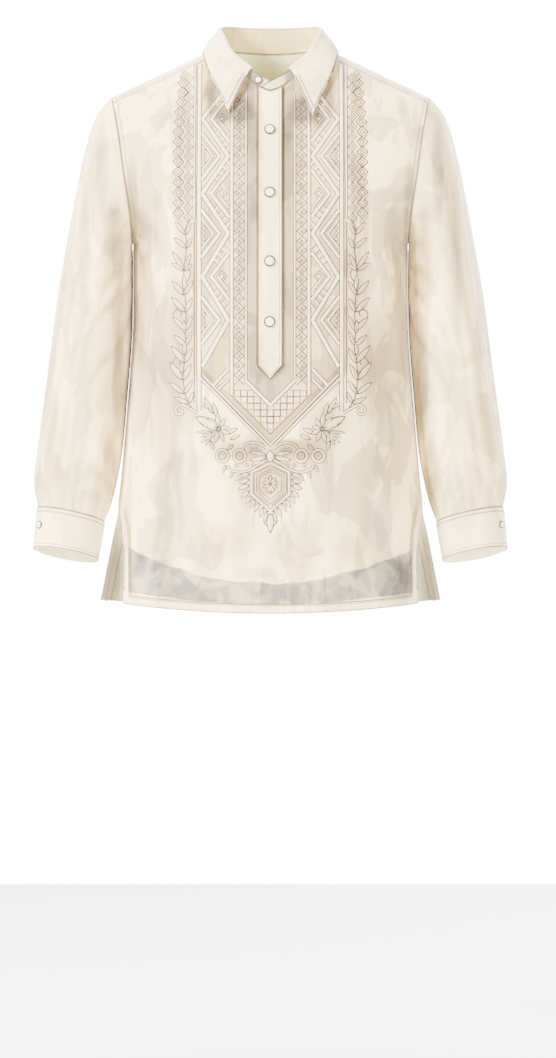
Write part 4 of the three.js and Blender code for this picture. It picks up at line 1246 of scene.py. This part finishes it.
# Wide panel: great zigzag bars across it, with nested bars, hatching and lozenges between
OUTER, INNER = 95.0, 58.5
ZIGZAG = [
    (INNER, -50), (OUTER, -98), (INNER, -152), (OUTER, -205), (INNER, -261), (OUTER, -321),
    (INNER, -382), (OUTER, -446),
]
for start, end in zip(ZIGZAG, ZIGZAG[1:]):
    bar([start, end], 5.2)
for (x, z), toward in [(point, 1 if point[0] == INNER else -1) for point in ZIGZAG[1:-1]]:
    for shift, reach, width in ((12.5, 25, 4.4), (21.5, 15.5, 2.6)):
        apex = (x + toward * shift, z)
        for rise in (1, -1):
            end = (apex[0] + toward * reach, z + rise * reach * 1.32)
            if toward > 0 or rise < 0 or shift < 15:
                bar([apex, end] if rise > 0 else [end, apex], width)
    if toward > 0:
        for step in range(3):
            spot = (x + 33.5, z + 7.5 - step * 7.5)
            diamond(spot, 2.4, 3.2, width=1.1, filled=True)
        for step in range(3):
            side = x + 26.5 + step * 3.4
            outline([(side, z + 26 + step * 4), (side + 5, z + 20 + step * 4)], curved=False, width=1.2)
    else:
        centre = (x - 27, z)
        diamond(centre, 7.5, 8.5, width=1.3)
        diamond(centre, 3.6, 4.2, width=1.2, filled=True)
        for step in range(4):
            for rise in (1, -1):
                start = (x - 14 - step * 5.6, z + rise * (24 + step * 7.2))
                outline([start, (start[0] - 6.2, start[1] - rise * 7)], curved=False, width=1.2)
                barb = [(start[0] - 2.4, start[1] + rise * 1.2), (start[0] - 8, start[1] - rise * 5.4)]
                for half in mirrored(barb):
                    satin_work.stroke(straight_line(half, 2.5), 1.9, 0.55)
bar([(80.0, -473), (58.5, -450)][::-1], 4.0)
bar([(72.0, -478), (58.5, -464)][::-1], 3.2)

# Scalloped lattice along the outer edge: a row of toothed lozenges, each with a smaller one
TOOTH = 14.4
for tooth in range(15):
    z = -30 - tooth * TOOTH
    edge = 121.5 + min(tooth, 6) * 1.2
    diamond((edge, z), 7.6, 8.2)
    diamond((edge, z), 3.4, 3.8, width=1.1, filled=True)
    diamond((114.8, z - TOOTH / 2), 6.0, 7.0, width=1.3)
    diamond((114.8, z - TOOTH / 2), 2.4, 2.8, width=1.0, filled=True)
    if tooth % 2 == 0:
        bar([(edge + 6, z - 3), (edge - 3, z - 13.5)], 1.8)

# Leaf vine below it: a wavy stem with leaves by pairs, buds and curls
STEM = [(113, -240), (119, -256), (116.8, -277), (120.7, -310), (121.2, -334), (118.9, -352), (117.7, -376),
        (119.5, -394), (117.7, -417), (120.3, -440), (122.1, -463), (117, -492), (104, -511)]
outline(STEM, width=1.8)
for base, outer_tip, inner_tip, wide in [
    ((118.5, -262), (133, -244), (110.5, -246), 5.5), ((117, -281), (134.5, -266), (109.5, -266), 6),
    ((120.5, -311), (137.5, -285), (111, -289), 6.5), ((120.8, -312), (138, -301), (109, -303), 6),
    ((121, -346), (137.5, -326), (108.5, -327), 7), ((119, -370), (138.5, -349), (109.5, -351), 7.5),
    ((118, -396), (136, -377), (109.5, -375), 7), ((118, -417), (135, -402), (109.5, -397), 6.5),
    ((120, -441), (139, -417), (109.5, -421), 8), ((122, -465), (141, -440), (111, -443), 8.5),
    ((121, -484), (141.5, -468), (109, -466), 7), ((114, -498), (134, -489), (107.5, -482), 6),
]:
    petal(base, outer_tip, wide)
    petal(base, inner_tip, wide * 0.85)
for centre_line in [
    [(119, -382), (127, -386), (135, -380), (136, -371), (130, -366), (124, -370), (126, -376)],
    [(120, -452), (128, -455), (135, -450), (137, -440), (131, -432), (125, -437), (127, -444)],
    [(119, -330), (113, -322), (112, -314), (116, -309)],
]:
    outline(centre_line)
petal((119, -340), (121, -318), 6.5)
petal((119.5, -400), (121, -382), 6)
petal((121, -430), (119, -411), 6)

# Corner scrolls, and the sprays of flowers beside the outer point
SPIRAL_X, SPIRAL_Z = 125.7, -508
spiral = [(102, -511)]
for turn in [part * 6 for part in span(16)]:
    reach, angle = 9.8 - 1.45 * turn, turn * 1.15 + 3.9
    spiral.append((SPIRAL_X + reach * math.cos(angle), SPIRAL_Z - reach * math.sin(angle)))
bar(spiral, 2.6, curved=True)
FLOWER = (71.9, -533.5)
for angle, reach, wide in [(8, 17, 6), (48, 21, 6.5), (84, 23, 7), (122, 17, 6), (168, 14, 6), (206, 17, 6.5),
                           (248, 19, 6), (285, 20, 6.5), (318, 23, 5)]:
    turn = math.radians(angle)
    base = (FLOWER[0] + 1.8 * math.cos(turn), FLOWER[1] + 1.8 * math.sin(turn))
    petal(base, (FLOWER[0] + reach * math.cos(turn), FLOWER[1] + reach * math.sin(turn)), wide)
petal((76, -532), (104, -516), 13, split=False)
ring((92, -522.5), 4.0, 1.6)
petal((80, -512), (92, -490), 6)
petal((84, -505), (99, -497), 4.5)
petal((74, -518), (80, -497), 5.5)
for tip in [(98, -545), (104, -538), (90, -556), (97, -553)]:
    petal((80, -538), tip, 4)
petal((60, -539), (46, -533), 6)
petal((56, -548), (42, -542), 5.5)
petal((52, -556), (60, -562), 5)
petal((83, -550), (79, -563), 5)
for centre in [(66.9, -571), (43.0, -571)]:
    ring(centre, 8.2, 3.4)
    ring(centre, 3.2, 1.6)

# The knot at the outer point, its bow, and the six-sided medallion with its leafy fringe
for width, high in ((4.6, 7.4), (2.6, 4.6)):
    upright = [(0, -572 + high - width / 2), (0, -572 - high + width / 2)]
    satin_work.stroke(straight_line(upright, 2.0), width * 1.7, 1.2, taper=0.6)
outline([(0, -563.5), (4.4, -567), (4.9, -572), (4.4, -577), (0, -580.5)])
petal((5, -573), (29, -577), 6.5)
petal((5, -570), (30, -566), 5)
bar([(3.5, -562), (12, -556), (22, -552.5), (33, -555), (38, -561)], 2.6, curved=True)
bar([(5, -577), (16, -583), (27, -590), (42, -594), (56, -590), (60, -584)], 2.4, curved=True)
for spot in [(14, -565), (20, -561), (27, -562), (33, -584), (24, -583), (48, -585), (16, -571.5)]:
    ring(spot, 1.9, 1.0)
bar([(0.5, -581.5), (26.2, -594), (26.2, -624.5), (0.5, -647.5)], 3.4)
bar([(0.5, -588), (20.6, -597.5), (20.6, -621.5), (0.5, -639.5)], 2.2)
outline([(0, -593), (15.6, -600.5), (15.6, -618.5), (0, -632)], curved=False, width=1.2)
for angle, reach in [(90, 12), (48, 11), (10, 10), (-30, 11), (-70, 13), (-90, 14)]:
    turn = math.radians(angle)
    petal((1.6 * math.cos(turn), -610 + 1.6 * math.sin(turn)),
          (reach * math.cos(turn), -610 + reach * math.sin(turn)), 5.0, split=False)
for base, tip, wide in [
    ((29, -596), (44, -600), 6), ((30, -604), (43, -609), 6), ((30, -612), (44, -617), 6.5),
    ((30, -620), (40, -629), 6),
    ((27, -627), (34, -637), 5.5), ((21, -632), (28, -643), 5.5), ((16, -637), (22, -649), 5.5),
    ((10, -643), (15, -656), 5.5), ((5, -648), (8, -664), 5), ((62, -584), (66, -594), 4.5),
    ((52, -592), (56, -602), 4.5),
    ((38, -596), (47, -606), 4.5),
]:
    petal(base, tip, wide)
petal((0, -651), (0, -678), 9, both=False)
outline([(6, -655), (9.5, -662), (4.5, -669), (0, -679)])


def thread_material(name, light, dark, stripes):
    """Embroidery thread: fine strands laid side by side across each stroke."""
    material = bpy.data.materials.new(name)
    material.use_nodes = True
    tree = material.node_tree
    shader = tree.nodes["Principled BSDF"]
    along = soft_node(tree, "ShaderNodeUVMap", uv_map="cloth")
    strands = soft_node(tree, "ShaderNodeTexWave", bands_direction="X",
                        sockets={"Scale": stripes, "Distortion": 1.6, "Detail": 1.0, "Detail Scale": 0.8})
    tree.links.new(along.outputs["UV"], strands.inputs["Vector"])
    place = soft_node(tree, "ShaderNodeTexCoord")
    uneven = soft_node(tree, "ShaderNodeTexNoise", sockets={"Scale": 60.0, "Detail": 2.0})
    tree.links.new(place.outputs["Object"], uneven.inputs["Vector"])
    amount = soft_node(tree, "ShaderNodeMath", operation="MULTIPLY")
    tree.links.new(strands.outputs["Fac"], amount.inputs[0])
    tree.links.new(uneven.outputs["Fac"], amount.inputs[1])
    tone = soft_node(tree, "ShaderNodeMix", data_type="RGBA", sockets={6: (*dark, 1), 7: (*light, 1)})
    shares = soft_node(tree, "ShaderNodeMapRange", sockets={"From Min": 0.02, "From Max": 0.4})
    tree.links.new(amount.outputs[0], shares.inputs["Value"])
    tree.links.new(shares.outputs["Result"], tone.inputs[0])
    wash = soft_node(tree, "ShaderNodeVertexColor", layer_name="wash")
    washed = soft_node(tree, "ShaderNodeMix", data_type="RGBA", blend_type="MULTIPLY", sockets={0: 1.0})
    tree.links.new(tone.outputs[2], washed.inputs[6])
    tree.links.new(wash.outputs["Color"], washed.inputs[7])
    tree.links.new(washed.outputs[2], shader.inputs["Base Color"])
    bump = soft_node(tree, "ShaderNodeBump", sockets={"Strength": 0.5, "Distance": 0.0003})
    tree.links.new(strands.outputs["Fac"], bump.inputs["Height"])
    tree.links.new(bump.outputs["Normal"], shader.inputs["Normal"])
    shader.inputs["Roughness"].default_value = 0.42
    shader.inputs["Sheen Weight"].default_value = 0.1
    return material


pale_thread = thread_material("pale_thread", (0.96, 0.77, 0.43), (0.60, 0.46, 0.25), 420.0)
tan_thread = thread_material("tan_thread", (0.085, 0.046, 0.018), (0.045, 0.024, 0.010), 300.0)
seam_thread = thread_material("seam_thread", (0.17, 0.11, 0.055), (0.09, 0.057, 0.028), 300.0)


# The front's ovals of tone and painted shade, laid on the threads sewn over them
def front_shade(point):
    return wash_at(FRONT_WASHES, point.x, point.z)


satin_work.finish("embroidery_satin", pale_thread, front_shade)
outline_work.finish("embroidery_outline", tan_thread, front_shade)
fine_work.finish("embroidery_veins", tan_thread)


# Hems and seams: the hems and slit edges are turned up double in a narrow band, every seam
# shows as a fine tan line, and topstitching runs beside the ones that are pressed flat.
def lines_on(path, piece_face, lift=0.0):
    """Moves each point of a path onto a piece's nearest surface, with the normal there."""
    placed = []
    for point in path:
        near, normal, _, _ = piece_face.find_nearest(point * 0.001)
        placed.append((near * 1000 + normal * lift, normal))
    return placed


def even_path(path, step):
    """The same path with points at even steps."""
    result = [path[0]]
    left = step
    for (start, start_normal), (end, end_normal) in zip(path, path[1:]):
        length = (end - start).length
        done = 0.0
        while length - done >= left:
            done += left
            part = done / length
            result.append((start.lerp(end, part), start_normal.lerp(end_normal, part).normalized()))
            left = step
        left -= length - done
    return result


def topstitch(work, path, length=2.6, gap=1.1):
    """Separate stitches along a path, each a short rounded thread."""
    steps = even_path(path, (length + gap) / 3)
    for index in range(0, len(steps) - 3, 3):
        start, end = steps[index], steps[index + 2]
        middle = steps[index + 1]
        work.thread([start, (middle[0] + middle[1] * 0.1, middle[1]), end], 0.95, 0.42)


def face_of(piece):
    return BVHTree.FromObject(piece, bpy.context.evaluated_depsgraph_get())


def body_line(side, places, lift=0.3):
    return [body_point(side, x, z, lift) for x, z in places]


def hem_wash(point):
    """The bands take the washes of the panel that they are sewn to, painted shade included."""
    return front_wash(point) if point.y < 0 else back_wash(point)


def hem_place(side, x, inset):
    low, rise = HEM[side]
    across = x / half_width(side, low)
    return low + rise * across * across + inset


# edge_work holds the darkest lines: stitched edges, each with a painted shadow along it
hem_work, seam_work, edge_work, stitch_work = Needlework(), Needlework(), Needlework(), Needlework()
HEM_BAND = 12
HEM_LINES = (HEM_BAND / 2 + 0.4, "band"), (HEM_BAND + 0.6, "line"), (0.9, "line"), (HEM_BAND - 1.6, "stitch")
for side in ("front", "back"):
    edge_heights = [mix(SLIT_TOP + 4, hem_place(side, 200, 7), part) for part in span(26)]
    for inset, kind in HEM_LINES:
        left = [(half_width(side, z) - inset, z) for z in edge_heights if z > hem_place(side, 200, inset)]
        width = half_width(side, hem_place(side, 200, inset)) - inset
        across = [mix(width, -width, part) for part in span(110)]
        bottom = [(x, hem_place(side, x, inset)) for x in across]
        places = left + bottom + [(-x, z) for x, z in left[::-1]]
        path = body_line(side, places, 0.05)
        if kind == "band":
            hem_work.thread(path, HEM_BAND, 0.55)
        elif kind == "line":
            seam_work.thread([(point + normal * 0.15, normal) for point, normal in path], 1.4, 0.6)
        else:
            topstitch(stitch_work, [(point + normal * 0.5, normal) for point, normal in path])

for sign in (1, -1):
    heights = [mix(SLIT_TOP - 6, hem_place("back", 200, 3), part) for part in span(26)]
    path = []
    for z in heights:
        x = sign * (half_width("back", z) - HEM_BAND / 2 - 0.6)
        point, normal = body_point("back", x, z, -PANEL_WALL - 0.05)
        path.append((point, -normal))
    hem_work.thread(path, HEM_BAND, 0.55)
    line = []
    for z in heights:
        x = sign * (half_width("back", z) - HEM_BAND - 0.8)
        point, normal = body_point("back", x, z, -PANEL_WALL - 0.2)
        line.append((point, -normal))
    seam_work.thread(line, 1.4, 0.6)

# The yoke's seams, the armholes, the side seams and the sleeves' underarm seams
for sign in (1, -1):
    top_edge = [front_top(sign * mix(NECK_SHARE, 0.992, part)) for part in span(40)]
    seam_work.thread(body_line("front", top_edge, 0.05), 1.5, 0.6)
    topstitch(stitch_work, body_line("front", [(x, z + 4) for x, z in top_edge[2:-2]], 0.15))
    for side in ("front", "back"):
        heights = [mix(-66, -262, part) for part in span(60)]
        armhole = [(sign * (half_width(side, z) - 0.8), z) for z in heights]
        seam_work.thread(body_line(side, armhole, 0.15), 1.6, 0.7)
        beside = [(sign * (half_width(side, z) - 6.5), z) for z in heights]
        topstitch(stitch_work, body_line(side, beside, 0.15))
    side_path = [(Vector((sign * (half_width("front", z) + 0.1), 0, z)), Vector((sign, 0, 0)))
                 for z in [mix(-276, -646, part) for part in span(60)]]
    seam_work.thread(side_path, 1.4, 0.5)
# A dark line along each sleeve's inner side: its underarm seam, with the painted shade where it lies against
# the body
for word, sign in [("left", 1), ("right", -1)]:
    sleeve_face = face_of(bpy.data.objects[f"sleeve_{word}_cloth"])
    path = [sleeve_point(sign, mix(0.02, 0.985, part), 172, 0.5) for part in span(110)]
    edge_work.thread(lines_on(path, sleeve_face, 0.02), 2.0, 0.3)
across_back = [(mix(-1, 1, part) * (half_width("back", YOKE_BACK) - 3), YOKE_BACK) for part in span(90)]
seam_work.thread(body_line("back", across_back, 0.1), 1.5, 0.6)
topstitch(stitch_work, body_line("back", [(x, z + 4) for x, z in across_back], 0.15))

# The cuffs' edges: a line at each edge, and topstitching all round
for word, sign in [("left", 1), ("right", -1)]:
    face = face_of(bpy.data.objects[f"cuff_{word}_cloth"])
    for at, kind in ((0.012, "line"), (0.985, "line"), (0.095, "stitch"), (0.91, "stitch"), (0.12, "fine")):
        path = [cuff_point(sign, at, part * 398 + 5, 1.2) for part in span(150)]
        placed = lines_on(path, face, 0.03)
        if kind == "stitch":
            topstitch(stitch_work, placed)
        else:
            seam_work.thread(placed, 1.6 if kind == "line" else 0.8, 0.5 if kind == "line" else 0.25)
    placed = lines_on([cuff_point(sign, at, 405.5, 1.2) for at in span(14)], face, 0.03)
    seam_work.thread(placed, 1.4, 0.4)

# The collar: a line and topstitching inside the leaf's edge, and lines round the stand
leaf_face, stand_face = face_of(leaf), face_of(stand)


def leaf_place(angle, part):
    """A point just outside the leaf's face, from its fold (0) to its edge (1)."""
    column = leaf_column(angle)[4:]
    place = part * (len(column) - 1)
    index = min(int(place), len(column) - 2)
    point = column[index].lerp(column[index + 1], place - index)
    return point + Vector((point.x, point.y, 30)).normalized()


# The outermost line, in the darkest thread, is the leaf's edge with the painted shadow along it.
for inset, kind in ((0.006, "line"), (0.075, "fine"), (0.055, "stitch")):
    end = LEAF_END - inset * 46
    right = [leaf_place(-end, part) for part in span(24)[3:] if part < 1 - inset]
    edge = [leaf_place(angle, 1 - inset) for angle in collar_turns(end, end, 160)]
    left = [leaf_place(end, part) for part in span(24)[3:] if part < 1 - inset]
    placed = lines_on(right + edge + left[::-1], leaf_face, 0.03)
    if kind == "stitch":
        topstitch(stitch_work, placed)
    else:
        (edge_work if kind == "line" else seam_work).thread(placed, 1.7 if kind == "line" else 0.9, 0.4)
# Dark lines at the stand's top and bottom edges: the edges with painted shade along them
for height in (0.04, 0.95):
    for start, end in ((158, STAND_ENDS[1] - 0.6), (-158, -STAND_ENDS[0] + 0.6)):
        path = [collar_base(angle).lerp(collar_fold(angle), height) + Vector((0, -1.0, 0))
                for angle in [mix(start, end, part) for part in span(20)]]
        edge_work.thread(lines_on(path, stand_face, 0.03), 1.5, 0.4)
lap_end = STAND_ENDS[1] - 0.6
path = [collar_base(lap_end).lerp(collar_fold(lap_end), part) + Vector((0, -1.0, 0)) for part in span(8)]
seam_work.thread(lines_on(path, stand_face, 0.03), 1.5, 0.4)
inside_neck = [collar_base(angle) for angle in collar_turns(150, 150, 90)]
inside_neck = [Vector((point.x * 0.955, point.y * 0.955, point.z + 1.0)) for point in inside_neck]
seam_work.thread(lines_on(inside_neck, stand_face, 0.03), 1.6, 0.5)

# The placket's edges, pointed end and topstitching
placket_face = face_of(placket)
# The edge line, in the darkest thread, is the placket's edge with the painted shadow along it.
for inset, kind in ((0.02, "line"), (0.12, "stitch")):
    right = [placket_point(inset, up, 0.4)[0] for up in [mix(1, inset * 0.1, part) for part in span(90)]]
    left = [placket_point(1 - inset, up, 0.4)[0] for up in [mix(inset * 0.1, 1, part) for part in span(90)]]
    across_point = [mix(inset, 1 - inset, part) for part in span(12)][1:-1]
    point = [placket_point(across, inset * 0.1, 0.4)[0] for across in across_point]
    placed = lines_on(right + point + left, placket_face, 0.03)
    if kind == "stitch":
        topstitch(stitch_work, placed)
    else:
        edge_work.thread(placed, 1.6, 0.5)

hem_work.finish("hem_bands", cuff_cloth, hem_wash)
seam_work.finish("seam_lines", seam_thread)
edge_work.finish("edge_lines", tan_thread)
stitch_work.finish("top_stitches", seam_thread)


# Buttons: turned mother-of-pearl discs with a smooth domed face, each in a dark ring of brown shell
# and painted shadow, and sewn on by a shank behind, so that no hole or thread shows in front
BUTTON_X = -1
BUTTON_HEIGHTS = [-115, -204, -300, -384.5]
BUTTON_THICK = 2.4
NECK_BUTTON_ANGLE = 193 - 360
CUFF_BUTTON = (33, 0.45)


def shell_material(name, light, dark, pearly, dullest):
    material = bpy.data.materials.new(name)
    material.use_nodes = True
    tree = material.node_tree
    shader = tree.nodes["Principled BSDF"]
    place = soft_node(tree, "ShaderNodeTexCoord")
    layers = soft_node(tree, "ShaderNodeTexNoise", sockets={"Scale": 160.0, "Detail": 3.0, "Distortion": 2.5})
    tree.links.new(place.outputs["Object"], layers.inputs["Vector"])
    tone = soft_node(tree, "ShaderNodeMix", data_type="RGBA", sockets={6: (*light, 1), 7: (*dark, 1)})
    tree.links.new(layers.outputs["Fac"], tone.inputs[0])
    tree.links.new(tone.outputs[2], shader.inputs["Base Color"])
    gloss = soft_node(tree, "ShaderNodeMapRange", sockets={"To Min": 0.14, "To Max": dullest})
    tree.links.new(layers.outputs["Fac"], gloss.inputs["Value"])
    tree.links.new(gloss.outputs["Result"], shader.inputs["Roughness"])
    shader.inputs["Coat Weight"].default_value = pearly
    shader.inputs["Coat Roughness"].default_value = 0.08
    return material


pearl = shell_material("button_pearl", (0.94, 0.83, 0.60), (0.74, 0.62, 0.42), 0.3, 0.3)
shell_rim_and_shadow = shell_material("button_brown_shell", (0.032, 0.020, 0.010), (0.016, 0.010, 0.006), 0.0, 0.9)


def pick_faces(mesh_edit, test):
    for face in mesh_edit.faces:
        face.select_set(test(face))


def turned_button(name, diameter):
    """One button about the Z axis, its back at z = 0."""
    radius, thick = diameter / 2000, BUTTON_THICK / 1000
    bpy.ops.object.select_all(action="DESELECT")
    bpy.ops.mesh.primitive_cylinder_add(vertices=40, radius=radius * 0.72, depth=thick,
                                        location=(0, 0, thick / 2))
    button = bpy.context.object
    button.name = name
    bpy.ops.object.transform_apply(location=True, rotation=True, scale=True)
    bpy.ops.object.mode_set(mode="EDIT")
    mesh_edit = bmesh.from_edit_mesh(button.data)
    pick_faces(mesh_edit, lambda face: face.normal.z > 0.9)
    bpy.ops.mesh.inset(thickness=radius * 0.10, depth=thick * 0.10)
    bpy.ops.mesh.inset(thickness=radius * 0.16, depth=thick * 0.10)
    bpy.ops.mesh.inset(thickness=radius * 0.20, depth=thick * 0.07)
    bpy.ops.mesh.inset(thickness=radius * 0.24, depth=thick * 0.03)
    mesh_edit = bmesh.from_edit_mesh(button.data)
    pick_faces(mesh_edit, lambda face: face.normal.z < -0.9)
    bpy.ops.mesh.inset(thickness=radius * 0.12)
    bpy.ops.mesh.inset(thickness=radius * 0.2, depth=thick * 0.06)
    bpy.ops.object.mode_set(mode="OBJECT")
    rim = button.modifiers.new("rim", "BEVEL")
    rim.width = thick * 0.16
    rim.segments = 3
    rim.limit_method = "ANGLE"
    rim.angle_limit = math.radians(40)
    bpy.ops.object.modifier_apply(modifier="rim")
    # The dark ring: the button's brown shell rim and the painted shadow round it
    bpy.ops.mesh.primitive_torus_add(major_radius=radius * 0.85, minor_radius=radius * 0.15,
                                     major_segments=40, minor_segments=8, location=(0, 0, thick * 0.5))
    shell = bpy.context.object
    shell.data.materials.append(shell_rim_and_shadow)
    button.data.materials.append(pearl)
    bpy.ops.object.select_all(action="DESELECT")
    button.select_set(True)
    shell.select_set(True)
    bpy.context.view_layer.objects.active = button
    bpy.ops.object.join()
    bpy.ops.object.transform_apply(location=True, rotation=True, scale=True)
    bpy.ops.object.shade_smooth_by_angle(angle=math.radians(45))
    return button


def sew_button(name, pattern, point, normal):
    """A copy of the pattern button at its place, with its place in its own mesh."""
    button = bpy.data.objects.new(name, pattern.data.copy())
    bpy.context.collection.objects.link(button)
    button.rotation_euler = normal.to_track_quat("Z", "Y").to_euler()
    button.location = (point + normal * SEAM) * 0.001
    select_only(button)
    bpy.ops.object.transform_apply(location=True, rotation=True, scale=True)
    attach(button, "root")
    return button


large_button = turned_button("large_button", 16)
small_button = turned_button("small_button", 11)
for number, z in enumerate(BUTTON_HEIGHTS, 1):
    point, normal = body_point("front", BUTTON_X, z, PLACKET_LIFT + BAND)
    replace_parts(sew_button(f"pearl_front_{number}", large_button, point, normal), f"button_front_{number}")


def band_normal(low, high, along, outward):
    normal = (high - low).cross(along).normalized()
    return normal if normal.dot(outward) > 0 else -normal


low, high = collar_base(NECK_BUTTON_ANGLE), collar_fold(NECK_BUTTON_ANGLE)
along = collar_base(NECK_BUTTON_ANGLE + 4) - collar_base(NECK_BUTTON_ANGLE - 4)
normal = band_normal(low, high, along, Vector((0, -1, 0)))
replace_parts(sew_button("pearl_neck", small_button, low.lerp(high, 0.5), normal), "button_neck")
for word, sign in [("left", 1), ("right", -1)]:
    angle, at = CUFF_BUTTON
    spot = {}
    for turn, height in [(angle, at - 0.1), (angle, at + 0.1), (angle - 4, at), (angle + 4, at)]:
        place = section_point(read_section(CUFF, height), turn)
        spot[turn, height] = Vector((sign * place.x, place.y, place.z))
    low, high = spot[angle, at + 0.1], spot[angle, at - 0.1]
    normal = band_normal(low, high, spot[angle + 4, at] - spot[angle - 4, at], Vector((sign, -1, 0)))
    sewn = sew_button(f"pearl_cuff_{word}", small_button, low.lerp(high, 0.5), normal)
    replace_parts(sewn, f"button_cuff_{word}")
bpy.data.objects.remove(large_button)
bpy.data.objects.remove(small_button)
